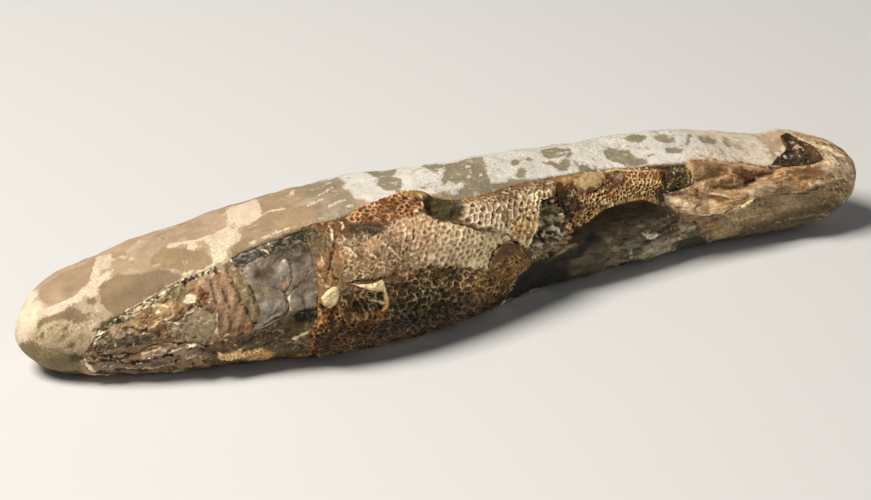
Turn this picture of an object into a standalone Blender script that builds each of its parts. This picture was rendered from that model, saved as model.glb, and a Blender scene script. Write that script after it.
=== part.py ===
# A fossil fish kept in the round in a long limestone nodule, lying on its ground-flat underside.
# Written in millimetres and turned to metres when a mesh is made. +X runs from the fish's snout
# to its tail, -Y is the prepared flank, +Z is up, and the origin lies on the flat underside.
# Places on the stone are (x, s): x along the length, s the distance round the section from the
# top line, positive down the prepared flank.

import bmesh
import bpy
import numpy as np
from mathutils import Vector
from mathutils.geometry import delaunay_2d_cdt

METRE = 0.001  # metres in a millimetre

# Driving dimensions of the nodule
TIP_LEFT, TIP_RIGHT = -92.5, 93.5
CAP_LEFT, CAP_RIGHT = 15.0, 12.0  # length over which each end rounds off
SQUARENESS = 2.5  # power of the section's superellipse
GROUND_OFF = 0.9  # depth taken off underneath to leave a flat strip
# x, half height, half depth, centre y, height of the lowest point
STATIONS = np.array([
    (-93.0, 9.0, 8.0, 4.0, 1.5),
    (-80.0, 10.0, 11.5, 5.0, 0.5),
    (-65.0, 13.0, 13.0, 1.5, 0.0),
    (-45.0, 15.0, 15.5, -1.0, 0.0),
    (-25.0, 16.5, 17.0, -3.5, 0.0),
    (-5.0, 16.5, 14.5, -4.0, 0.0),
    (15.0, 15.0, 13.0, 0.0, 0.0),
    (35.0, 13.5, 13.0, 2.5, 0.0),
    (55.0, 12.5, 12.0, 3.0, 0.5),
    (75.0, 10.0, 11.0, 1.0, 1.5),
    (93.0, 9.5, 8.5, -6.0, 4.5),
])

# Driving dimensions of the fish and of how it is bedded
GAP = 0.3  # clear width between neighbouring pieces
SEAT_GAP = 0.5  # clearance under a piece
FISH_THICKNESS = 4.6
SCALE_PITCH = 2.4  # spacing of the trunk's scales
STOCK_SCALE_PITCH = 1.9
CRUST_PITCH = 1.0
BONE_PITCH = 1.7
FLOOR_PITCH = 4.5
GRID_LENGTHS, TIP_CROWDING = 57, 0.35

# Outlines on the stone, as (x, s) points
CREST = [(-81.6, 18.0), (-79.5, 15.8), (-78.0, 14.0), (-75.0, 13.0), (-70.0, 12.1), (-65.0, 11.2),
         (-60.0, 10.4), (-54.0, 10.1), (-50.5, 9.3), (-47.0, 8.4), (-41.0, 7.6), (-35.5, 7.0),
         (-31.0, 7.0), (-27.0, 7.0), (-24.0, 6.3), (-20.0, 5.3), (-16.0, 4.3), (-12.0, 3.8),
         (-9.5, 4.5), (-5.5, 6.4), (-3.0, 8.0), (1.0, 8.3), (5.0, 8.0), (10.0, 7.3), (16.0, 6.8),
         (21.0, 6.5), (30.0, 6.3), (37.0, 6.5), (41.0, 7.2), (47.0, 7.7), (53.3, 8.0)]
JAW_TOP = [(-81.6, 18.0), (-78.0, 19.2), (-74.0, 21.2), (-71.0, 22.3), (-68.0, 21.7), (-65.0, 22.4),
           (-62.0, 23.8), (-59.0, 25.4), (-57.0, 26.4), (-54.0, 26.1), (-49.0, 26.2)]
GILL_FRONT = [(-50.5, 9.3), (-49.7, 13.0), (-48.7, 17.0), (-47.2, 20.0), (-46.9, 22.5), (-49.0, 26.2)]
GILL_BOTTOM = [(-49.0, 26.2), (-46.0, 25.8), (-43.0, 25.0), (-40.5, 24.2), (-35.5, 24.6)]
SHOULDER = [(-35.5, 7.0), (-35.2, 15.0), (-35.5, 24.6), (-36.0, 33.0), (-35.5, 42.3)]
BELLY = [(-81.6, 18.0), (-80.8, 21.0), (-79.0, 25.3), (-74.0, 29.3), (-69.0, 31.8), (-64.0, 33.8),
         (-58.0, 36.6), (-53.0, 37.3), (-48.0, 38.8), (-43.0, 40.4), (-35.5, 42.3), (-28.0, 42.8),
         (-20.0, 42.0), (-8.0, 39.5), (0.0, 37.5), (8.0, 35.8)]
TRUNK_END = [(21.0, 6.5), (21.6, 9.0), (20.4, 10.9), (17.3, 11.2), (15.9, 13.0), (15.4, 15.2),
             (14.0, 17.6), (12.6, 20.0), (13.6, 22.6), (13.4, 25.6), (10.6, 27.2), (10.2, 30.5),
             (8.0, 35.8)]
STOCK_FRONT = [(21.0, 6.5), (21.9, 9.0), (21.9, 11.5), (22.2, 14.2), (24.0, 16.8), (25.2, 18.0)]
STOCK_EDGE = [(25.2, 18.0), (28.0, 16.8), (31.0, 15.3), (34.0, 14.7), (37.5, 14.3), (41.0, 14.5),
              (44.0, 15.7), (46.2, 16.6)]
STOCK_REAR = [(46.2, 16.6), (46.6, 14.4), (50.0, 13.8), (53.3, 13.0), (54.1, 10.3), (53.3, 8.0)]
CRUST = [(20.4, 10.9), (17.3, 11.2), (15.9, 13.0), (15.4, 15.2), (14.0, 17.6), (12.6, 20.0),
         (13.6, 22.6), (14.2, 24.6), (17.0, 25.2), (20.0, 24.6), (23.0, 22.3), (25.2, 18.0),
         (24.0, 16.8), (22.2, 14.2), (21.9, 11.5)]
SHOULDER_BONE = [(-34.8, 22.3), (-33.6, 21.4), (-31.7, 21.2), (-31.2, 22.4), (-31.5, 24.2),
                 (-32.8, 25.0), (-34.2, 24.2)]
FIN_SPINE = [(-29.2, 21.1), (-26.5, 22.0), (-22.2, 22.0), (-21.5, 24.0), (-20.9, 27.0),
             (-21.2, 28.6), (-22.6, 29.5), (-22.1, 27.4), (-22.4, 24.7), (-25.0, 23.8), (-27.2, 22.6)]
TAIL_BONE_UPPER = [(57.0, 14.6), (60.5, 14.7), (63.6, 15.1), (63.6, 15.8), (60.5, 15.5), (57.0, 15.3)]
TAIL_BONE_LOWER = [(60.4, 18.2), (64.0, 16.9), (67.8, 14.9), (68.5, 15.5), (64.5, 17.7), (60.6, 18.9)]
TAIL_LUMP = [(79.0, -1.5), (80.6, -2.6), (82.0, 0.6), (84.0, 4.6), (84.0, 6.6), (81.0, 7.9),
             (77.0, 8.1), (73.0, 7.9), (75.0, 6.0), (77.3, 4.4), (78.4, 1.0)]
LEDGE = [(-93.0, 14.0), (-75.0, 30.0), (-50.0, 38.0), (-20.0, 41.0), (0.0, 37.0), (14.0, 30.0),
         (26.0, 23.0), (36.0, 19.5), (46.0, 17.4), (49.0, 18.9), (52.0, 19.7), (57.0, 20.0),
         (60.0, 19.5), (64.0, 17.6), (68.0, 15.6), (72.0, 14.5), (78.0, 14.3), (84.0, 12.5),
         (90.0, 9.0), (93.5, 7.0)]
CREVICE = [(59.0, 13.5), (62.0, 13.8), (65.0, 13.3), (67.5, 12.0), (70.0, 10.5), (73.5, 9.7)]
GROOVE = [(53.8, 12.2), (57.0, 11.5), (60.5, 11.0)]


def smooth(x, column):
    # A curve through the stations, cubic between them
    xs, ys = STATIONS[:, 0], STATIONS[:, column]
    x = np.clip(x, xs[0], xs[-1])
    i = np.clip(np.searchsorted(xs, x, side="right") - 1, 0, len(xs) - 2)
    slope, span = np.gradient(ys, xs), np.diff(xs)[i]
    t = (x - xs[i]) / span
    rise = (3 * t**2 - 2 * t**3) * (ys[i + 1] - ys[i]) + ys[i]
    return rise + span * ((t**3 - 2 * t**2 + t) * slope[i] + (t**3 - t**2) * slope[i + 1])


def end_rounding(x):
    # 1 along the middle, falling to 0 at each tip as a quarter ellipse
    left = np.clip((TIP_LEFT + CAP_LEFT - x) / CAP_LEFT, 0, 1)
    right = np.clip((x - TIP_RIGHT + CAP_RIGHT) / CAP_RIGHT, 0, 1)
    return np.sqrt(np.clip(1 - np.maximum(left, right)**2, 0, 1))


def section(x, angle):
    # The superellipse at x: angle 0 is its top, and it grows down the prepared flank
    height, depth = smooth(x, 1), smooth(x, 2)
    power, cap = 2 / SQUARENESS, end_rounding(x)
    across = np.sign(np.sin(angle)) * np.abs(np.sin(angle))**power
    up = np.sign(np.cos(angle)) * np.abs(np.cos(angle))**power
    y = smooth(x, 3) - depth * cap * across
    z = smooth(x, 4) + height - GROUND_OFF + height * cap * up
    return y, z


def bare_surface(x, s):
    # Points of the stone at (x, s), found by walking round each section
    angle = np.linspace(-np.pi, np.pi, 721)[None, :]
    y, z = section(x[:, None], angle)
    walked = np.concatenate([np.zeros((len(x), 1)),
                             np.cumsum(np.hypot(np.diff(y), np.diff(z)), axis=1)], axis=1)
    walked -= walked[:, 360:361]
    k = np.clip((walked < s[:, None]).sum(axis=1) - 1, 0, 719)
    row = np.arange(len(x))
    part = (s - walked[row, k]) / np.maximum(walked[row, k + 1] - walked[row, k], 1e-9)
    part = np.clip(part, 0, 1)
    y = y[row, k] + part * (y[row, k + 1] - y[row, k])
    z = z[row, k] + part * (z[row, k + 1] - z[row, k])
    return np.stack([x, y, z], axis=1)


def raised(x, s, height):
    # The bare section moved out along its normal by height
    step = 0.3
    along = bare_surface(x + step, s) - bare_surface(x - step, s)
    down = bare_surface(x, s + step) - bare_surface(x, s - step)
    normal = np.cross(down, along)
    normal /= np.linalg.norm(normal, axis=1)[:, None] + 1e-12
    return bare_surface(x, s) + normal * height[:, None]


def half_girth(x):
    # Distance from the top line to the bottom line round the prepared flank
    y, z = section(x[:, None], np.linspace(0, np.pi, 181)[None, :])
    return np.hypot(np.diff(y), np.diff(z)).sum(axis=1)


def read_line(line, x):
    xs, ys = np.array(line).T
    return np.interp(x, xs, ys)


def distance(line, x, s):
    # Shortest distance from each (x, s) to a chain of points
    best = np.full(np.shape(x), 1e9)
    for (ax, as_), (bx, bs) in zip(line[:-1], line[1:]):
        dx, ds = bx - ax, bs - as_
        t = np.clip(((x - ax) * dx + (s - as_) * ds) / (dx * dx + ds * ds), 0, 1)
        best = np.minimum(best, np.hypot(x - ax - t * dx, s - as_ - t * ds))
    return best


def bell(x, s, cx, cs, rx, rs):
    return np.exp(-((x - cx) / rx)**2 - ((s - cs) / rs)**2)


def ramp(value, low, high):
    t = np.clip((value - low) / (high - low), 0, 1)
    return t * t * (3 - 2 * t)


def rock_relief(x, s, point):
    # Height of the stone over the bare section, as one sum of its lumps, lips, ledges and hollows
    y, z = point[:, 1], point[:, 2]
    lumps = 0.20 * np.sin(0.21 * x + 1.3) * np.sin(0.30 * z + 0.25 * y)
    lumps += 0.09 * np.sin(0.47 * x + 0.36 * y - 0.2 * z + 2.0)
    lumps += 0.05 * np.sin(0.9 * x - 0.7 * y + 0.8 * z)
    crest, ledge, edge = read_line(CREST, x), read_line(LEDGE, x), read_line(STOCK_EDGE, x)
    lip = ramp(x, -83, -76) * (1 - ramp(x, -52, -30)) + 0.35 * ramp(x, -45, -30) * (1 - ramp(x, 45, 55))
    height = lumps + 0.4 * lip * np.exp(-((crest - s) / 1.8)**2)
    under = ramp(x, 17, 27) * (1 - ramp(x, 42, 51)) * ramp(s, edge - 3, edge)
    height -= 3.1 * under * np.exp(-(np.maximum(s - edge, 0) / 5.0)**2)
    height -= 1.8 * bell(x, s, 16, 30, 8, 5)
    tail = ramp(x, 45, 49) * (1 - ramp(x, 84, 91))
    height += tail * 0.9 * ramp(s, ledge - 5, ledge - 1) * (1 - ramp(s, ledge - 0.4, ledge + 0.4))
    height -= tail * 0.7 * ramp(s, ledge - 0.4, ledge + 0.4) * (1 - ramp(s, ledge + 2, ledge + 8))
    slab = ramp(x, 53, 56) * (1 - ramp(x, 70, 75)) * ramp(s, 6.5, 8.0)
    height += 0.6 * slab * (1 - ramp(s, 10.5, 12.5))
    height -= 1.5 * np.exp(-(distance(CREVICE, x, s) / 1.1)**2)
    height -= 0.7 * np.exp(-(distance(GROOVE, x, s) / 0.9)**2)
    height += 1.1 * bell(x, s, 80, -4, 2.6, 3.5) - 0.5 * bell(x, s, 86, -2, 3.2, 5)
    return height + 0.4 * bell(x, s, 54, 29, 3.2, 3.2)


def skull_relief(x, s):
    below = s - read_line(CREST, x)
    height = -0.2 + 0.3 * ramp(below, 0.0, 4.0)
    height += 0.6 * bell(x, s, -74, 17.6, 5.5, 1.8) + 0.5 * bell(x, s, -60, 20.5, 4.0, 3.5)
    height += 0.4 * bell(x, s, -66, 15.5, 5.0, 2.0)
    ribs = ramp(x, -56.5, -55) * np.sin(2 * np.pi * (x + 0.32 * s) / 2.6)
    return height + 0.2 * ribs


def gill_relief(x, s):
    below = s - read_line(CREST, x)
    return -0.6 + 0.5 * ramp(below, 0.0, 4.5) + 0.7 * bell(x, s, -43.5, 18, 6.0, 6.0)


def jaw_relief(x, s):
    # Long bones side by side, running back and down from the snout, then the plain throat
    across = s - 0.45 * (x + 80)
    ridged = 1 - ramp(x, -58, -50)
    height = 0.45 * ridged * np.sin(2 * np.pi * across / 3.1)
    height -= 1.3 * bell(x, s, -38.5, 26.5, 3.0, 2.2)
    return height + 0.7 * np.exp(-(distance([(-54.5, 29.5), (-51, 32), (-45, 35.5)], x, s) / 1.4)**2)


def crest_taper(x, s):
    # Behind the hole the fish runs out level with the stone at the crest
    return 0.75 * ramp(x, -5, 1) * (1 - ramp(s - read_line(CREST, x), 0, 1.8))


def trunk_relief(x, s):
    height = 0.5 * ramp(x, -36, -30) * (1 - 0.4 * ramp(x, 0, 20))
    height += 0.6 * np.exp(-((x + 34.0) / 1.6)**2) * ramp(s, 12, 16)
    height -= 0.7 * ramp(x, -34, -30) * (1 - ramp(x, -26, -22)) * (1 - ramp(s, 8, 12))
    front_of_hole = ramp(s - read_line([(-3, 12.3), (0, 14.4), (5, 15.6), (9, 19.2), (14, 21)], x), 0.0, 1.0)
    height += 0.7 * ramp(x, -4, -1) * (1 - front_of_hole)
    height -= 2.6 * bell(x, s, -7.3, 8.6, 2.4, 2.5) + 0.9 * bell(x, s, -3.6, 11.6, 2.2, 1.2)
    height -= 1.3 * bell(x, s, -26.3, 26.8, 3.4, 2.4) + 0.4 * ramp(x, 12, 20) * (1 - ramp(s, 11, 14))
    return height - 0.9 * ramp(x, 6, 10) * ramp(s, 26, 31) - crest_taper(x, s)


def trunk_scales(x, s):
    # How far the scales stand up: low on the worn middle of the flank, high over back and belly
    worn = bell(x, s, -22, 16.5, 9, 5) + 0.8 * bell(x, s, 8, 23, 4, 3) + bell(x, s, -7.3, 8.6, 3, 3)
    return 0.50 * np.clip(1 - worn, 0.1, 1)


def stock_relief(x, s):
    height = 0.6 + 0.4 * bell(x, s, 29, 9, 4.5, 2.0) - 0.7 * ramp(x, 46, 48)
    return height - 0.7 * bell(x, s, 23, 13, 1.8, 2.5) - crest_taper(x, s)


def stock_scales(x, s):
    return 0.4 * np.clip(1 - 1.2 * bell(x, s, 29, 9, 4.5, 2.0), 0.0, 1)


def crust_relief(x, s):
    return -2.0 - 1.2 * bell(x, s, 18.3, 13.2, 2.0, 1.5) - 0.7 * bell(x, s, 16.5, 19, 2.5, 1.2)


def crystal_points(x, s):
    # Blunt points of uneven height
    return 0.9 + 0.5 * np.sin(12.9 * x + 7.1 * s)


def lump_relief(x, s):
    return 0.5 + 0.7 * bell(x, s, 78.5, 6.3, 3.5, 1.4)


def resampled(points, pitch):
    # The closed outline with a point about every pitch, each given corner kept
    out = []
    for a, b in zip(points, points[1:] + points[:1]):
        a, b = np.array(a), np.array(b)
        count = max(1, round(float(np.hypot(*(b - a))) / pitch))
        out.extend(a + (b - a) * i / count for i in range(count))
    return np.array(out)


def shrunk(outline, distance_in):
    # Each point moved inwards along the outline's local normal
    ahead, behind = np.roll(outline, -1, axis=0), np.roll(outline, 1, axis=0)
    along = ahead - behind
    along /= np.linalg.norm(along, axis=1)[:, None]
    x, s = outline.T
    turn = np.sign(np.sum(x * np.roll(s, -1) - s * np.roll(x, -1)))
    inward = np.stack([-along[:, 1], along[:, 0]], axis=1) * turn
    return outline + inward * distance_in


def inside(outline, x, s):
    hit = np.zeros(len(x), bool)
    for (ax, as_), (bx, bs) in zip(outline, np.roll(outline, -1, axis=0)):
        cross = (as_ > s) != (bs > s)
        hit ^= cross & (x < ax + (s - as_) * (bx - ax) / (bs - as_ if bs != as_ else 1.0))
    return hit


def lattice(outline, pitch):
    # Points on triangles that fill the outline; the third that are scale tops come with True
    rows = int(np.ptp(outline[:, 1]) / (pitch * 0.866)) + 2
    columns = int(np.ptp(outline[:, 0]) / pitch) + rows
    i, j = np.meshgrid(np.arange(-rows, columns), np.arange(rows))
    x = outline[:, 0].min() + pitch * (i + 0.5 * j)
    s = outline[:, 1].min() + pitch * 0.866 * j
    top = ((i - j) % 3 == 0).ravel()
    x, s = x.ravel(), s.ravel()
    ring = [tuple(p) for p in outline] + [tuple(outline[0])]
    kept = inside(outline, x, s) & (distance(ring, x, s) > 0.62 * pitch)
    return x[kept], s[kept], top[kept]


def filled(outline, x, s):
    # Triangles over an outline and the points within it
    points = [Vector(p) for p in outline] + [Vector(p) for p in zip(x, s)]
    ring = list(range(len(outline)))
    edges = list(zip(ring, ring[1:] + ring[:1]))
    found = delaunay_2d_cdt(points, edges, [ring], 1, 1e-6)
    return np.array(found[0]), [tuple(f) for f in found[2]]


def make_object(name, points, faces, material=None):
    mesh = bpy.data.meshes.new(name)
    mesh.from_pydata((np.array(points) * METRE).tolist(), [], faces)
    work = bmesh.new()
    work.from_mesh(mesh)
    bmesh.ops.recalc_face_normals(work, faces=work.faces)
    bmesh.ops.triangulate(work, faces=work.faces)
    work.to_mesh(mesh)
    work.free()
    piece = bpy.data.objects.new(name, mesh)
    bpy.context.collection.objects.link(piece)
    if material:
        mesh.materials.append(material)
    return piece


def slab(name, outline, pitch, top, bottom, scales=None, material=None):
    # A closed solid over an outline of the stone: top and bottom are heights over the bare section
    tx, ts, tall = lattice(outline, pitch)
    flat_top, top_faces = filled(outline, tx, ts)
    bx, bs, _ = lattice(outline, FLOOR_PITCH)
    flat_bottom, bottom_faces = filled(outline, bx, bs)
    count = len(outline)
    height = top(flat_top[:, 0], flat_top[:, 1])
    if scales:
        reach = scales(tx, ts)
        height[count:count + len(tx)] += np.where(tall, reach, -0.25 * reach)
    upper = raised(flat_top[:, 0], flat_top[:, 1], height)
    lower = raised(flat_bottom[:, 0], flat_bottom[:, 1], bottom(flat_bottom[:, 0], flat_bottom[:, 1]))
    shift = len(upper)
    faces = [f[::-1] for f in top_faces]
    faces += [tuple(i + shift for i in f) for f in bottom_faces]
    for i in range(count):
        j = (i + 1) % count
        faces.append((i, j, j + shift, i + shift))
    return make_object(name, np.vstack([upper, lower]), faces, material)


def level(value):
    return lambda x, s: np.full(np.shape(x), float(value))


def cut(host, cutter):
    cutter.hide_render = True
    cutter.display_type = "WIRE"
    modifier = host.modifiers.new("seat_" + cutter.name, "BOOLEAN")
    modifier.operation = "DIFFERENCE"
    modifier.solver = "EXACT"
    modifier.object = cutter


def seated(name, corners, host, pitch, top, depth, material):
    # A piece let into its host, with a seat cut to the same outline and the gap added
    piece = slab(name, resampled(corners, pitch), pitch, top, level(-depth), material=material)
    seat = shrunk(resampled(corners, pitch), -GAP)
    cut(host, slab("cut_" + name, seat, pitch, level(6), level(-depth - GAP)))
    return piece


def stone_finish(name, colour, roughness):
    material = bpy.data.materials.new(name)
    material.use_nodes = True
    shader = material.node_tree.nodes["Principled BSDF"]
    shader.inputs["Base Color"].default_value = (*colour, 1)
    shader.inputs["Roughness"].default_value = roughness
    shader.inputs["Metallic"].default_value = 0.0
    material.diffuse_color = (*colour, 1)
    return material


def make_nodule():
    # Rings of points at even steps between the top, crest, ledge, underside and back
    v = np.linspace(-1, 1, GRID_LENGTHS)
    middle, half = (TIP_LEFT + TIP_RIGHT) / 2, (TIP_RIGHT - TIP_LEFT) / 2
    x = middle + half * v * (1 + TIP_CROWDING - TIP_CROWDING * v * v)
    x = x[1:-1]
    girth = half_girth(x)
    crest = np.clip(read_line(CREST, x), 0.1 * girth, 0.42 * girth)
    ledge = np.clip(read_line(LEDGE, x), 0.5 * girth, 0.8 * girth)
    ledge = np.where(x > 40, np.clip(read_line(LEDGE, x), 0.3 * girth, 0.8 * girth), ledge)
    stops = [(0 * girth, 4), (crest, 7), (ledge - 0.4, 1), (ledge + 0.4, 5), (0.9 * girth, 3),
             (1.15 * girth, 8), (2 * girth, 0)]
    rows = []
    for (a, count), (b, _) in zip(stops[:-1], stops[1:]):
        rows += [a + (b - a) * k / count for k in range(count)]
    s = np.stack(rows, axis=1)
    s = np.where(s > girth[:, None], s - 2 * girth[:, None], s)
    flat_x = np.repeat(x, s.shape[1])
    flat_s = s.ravel()
    bare = bare_surface(flat_x, flat_s)
    relief = rock_relief(flat_x, flat_s, bare) * np.repeat(end_rounding(x), s.shape[1])
    points = raised(flat_x, flat_s, relief)
    points[:, 2] = np.maximum(points[:, 2], 0.0)
    tips = []
    for tip in (TIP_LEFT, TIP_RIGHT):
        y, z = section(np.array([tip]), np.array([0.0]))
        tips.append((tip, y[0], z[0]))
    count, last = s.shape[1], len(points)
    faces = []
    for i in range(len(x) - 1):
        for j in range(count):
            k = (j + 1) % count
            faces.append((i * count + j, i * count + k, (i + 1) * count + k, (i + 1) * count + j))
    for j in range(count):
        k = (j + 1) % count
        faces.append((last, k, j))
        faces.append((last + 1, (len(x) - 1) * count + j, (len(x) - 1) * count + k))
    finish = stone_finish("limestone", (0.62, 0.53, 0.42), 0.9)
    return make_object("nodule", np.vstack([points, tips]), faces, finish)


def part_of(line, first, last):
    # The stretch of a line between two of its own points
    return line[line.index(first):line.index(last) + 1]


def joined(*lines):
    # One closed outline from lines laid end to end, the shared end points taken once
    out = []
    for line in lines:
        for point in line:
            if point not in out:
                out.append(point)
    return out


def make_fish(nodule):
    bone = stone_finish("head_bone", (0.30, 0.24, 0.20), 0.55)
    gill = stone_finish("gill_bone", (0.27, 0.24, 0.23), 0.5)
    scale = stone_finish("scales", (0.35, 0.22, 0.11), 0.5)
    crystal = stone_finish("calcite", (0.33, 0.29, 0.24), 0.35)
    snout, gill_top, shoulder_top, stock_top = CREST[0], GILL_FRONT[0], SHOULDER[0], STOCK_FRONT[0]
    outlines = {
        "skull": joined(part_of(CREST, snout, gill_top), GILL_FRONT, JAW_TOP[::-1]),
        "gill_cover": joined(part_of(CREST, gill_top, shoulder_top), SHOULDER[:3],
                             GILL_BOTTOM[::-1], GILL_FRONT[::-1]),
        "lower_jaw": joined(JAW_TOP, GILL_BOTTOM, SHOULDER[2:], part_of(BELLY, BELLY[0], SHOULDER[-1])[::-1]),
        "trunk": joined(part_of(CREST, shoulder_top, stock_top), TRUNK_END,
                        part_of(BELLY, SHOULDER[-1], BELLY[-1])[::-1], SHOULDER[::-1]),
        "tail_stock": joined(part_of(CREST, stock_top, CREST[-1]), STOCK_REAR[::-1],
                             STOCK_EDGE[::-1], STOCK_FRONT[::-1]),
        "calcite_crust": CRUST,
    }
    looks = {
        "skull": (BONE_PITCH, skull_relief, None, bone),
        "gill_cover": (BONE_PITCH, gill_relief, None, gill),
        "lower_jaw": (BONE_PITCH, jaw_relief, None, bone),
        "trunk": (SCALE_PITCH / 3**0.5, trunk_relief, trunk_scales, scale),
        "tail_stock": (STOCK_SCALE_PITCH / 3**0.5, stock_relief, stock_scales, scale),
        "calcite_crust": (CRUST_PITCH, crust_relief, crystal_points, crystal),
    }
    pieces = {}
    for name, corners in outlines.items():
        pitch, relief, scales, finish = looks[name]
        ring = shrunk(resampled(corners, 1.6 if pitch > 1.2 else 1.2), GAP / 2)
        pieces[name] = slab(name, ring, pitch, relief, level(-FISH_THICKNESS), scales, finish)
    rim = joined(CREST, STOCK_REAR[::-1], STOCK_EDGE[::-1], [(23.0, 22.3), (20.0, 24.6), (17.0, 25.2),
                 (14.2, 24.6)], TRUNK_END[9:], BELLY[::-1])
    pocket = slab("cut_pocket", shrunk(resampled(rim, 2.2), -GAP), FLOOR_PITCH,
                  level(6), level(-FISH_THICKNESS - SEAT_GAP))
    cut(nodule, pocket)
    return pieces


def build():
    for old in list(bpy.data.objects):
        bpy.data.objects.remove(old)
    nodule = make_nodule()
    fish = make_fish(nodule)
    pale = stone_finish("pale_bone", (0.72, 0.55, 0.33), 0.6)
    dark = stone_finish("dark_calcite", (0.10, 0.07, 0.05), 0.3)
    small = 0.9
    seated("shoulder_bone", SHOULDER_BONE, fish["trunk"], small,
           lambda x, s: trunk_relief(x, s) + 0.8 * bell(x, s, -33, 23, 1.6, 1.6), 1.2, pale)
    seated("fin_spine", FIN_SPINE, fish["trunk"], small, level(0.9), 2.0, pale)
    seated("tail_bone_upper", TAIL_BONE_UPPER, nodule, small, level(0.9), 0.9, pale)
    seated("tail_bone_lower", TAIL_BONE_LOWER, nodule, small, level(1.4), 0.9, pale)
    seated("tail_lump", TAIL_LUMP, nodule, 1.3, lump_relief, 2.2, dark)


build()
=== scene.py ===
# A fossil fish kept in the round in its limestone nodule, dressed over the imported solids.
import itertools
import math

import bmesh
import bpy
import numpy as np
from mathutils import Matrix, Vector


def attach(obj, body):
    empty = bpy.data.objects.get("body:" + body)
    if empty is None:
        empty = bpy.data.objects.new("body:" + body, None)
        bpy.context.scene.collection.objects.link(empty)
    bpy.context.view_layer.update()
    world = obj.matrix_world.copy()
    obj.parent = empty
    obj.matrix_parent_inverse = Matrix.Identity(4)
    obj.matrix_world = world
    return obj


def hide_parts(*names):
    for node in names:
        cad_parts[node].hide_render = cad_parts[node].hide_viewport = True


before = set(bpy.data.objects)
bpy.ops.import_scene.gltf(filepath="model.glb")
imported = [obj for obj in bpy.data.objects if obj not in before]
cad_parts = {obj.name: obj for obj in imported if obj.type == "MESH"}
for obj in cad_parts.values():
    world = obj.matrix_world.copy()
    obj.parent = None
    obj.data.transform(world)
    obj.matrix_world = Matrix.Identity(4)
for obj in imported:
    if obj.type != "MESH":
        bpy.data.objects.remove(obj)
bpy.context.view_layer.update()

# Everything is worked out in millimetres. +X runs from snout to tail, -Y is the prepared flank and
# +Z is up. A place on the stone is (x, s): s is the distance round the section from the top line,
# positive down the prepared flank.
metre = 0.001

stone = {
    "tips": (-92.5, 93.5), "caps": (15.0, 12.0),  # ends of the nodule, and the length each rounds off in
    "squareness": 2.5,  # power of the section's superellipse
    "groundOff": 0.9,  # flattened away underneath
    "step": 0.6, "tailFrom": 28.0, "tailStep": 0.245,  # spacing of the rings
    "rows": 176,  # points round each ring
    "bed": 4.8,  # depth of the hollow the fish lies in
}

# x, half height, half depth, centre y, height of the lowest point
stations = np.array([
    (-93.0, 9.0, 8.0, 4.0, 1.5),
    (-80.0, 10.0, 11.5, 5.0, 0.5),
    (-65.0, 13.0, 13.0, 1.5, 0.0),
    (-45.0, 15.0, 15.5, -1.0, 0.0),
    (-25.0, 16.5, 17.0, -3.5, 0.0),
    (-5.0, 16.5, 14.5, -4.0, 0.0),
    (15.0, 15.0, 13.0, 0.0, 0.0),
    (35.0, 13.5, 13.0, 2.5, 0.0),
    (55.0, 12.5, 12.0, 3.0, 0.5),
    (75.0, 10.0, 11.0, 1.0, 1.5),
    (93.0, 9.5, 8.5, -6.0, 4.5),
])

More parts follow.
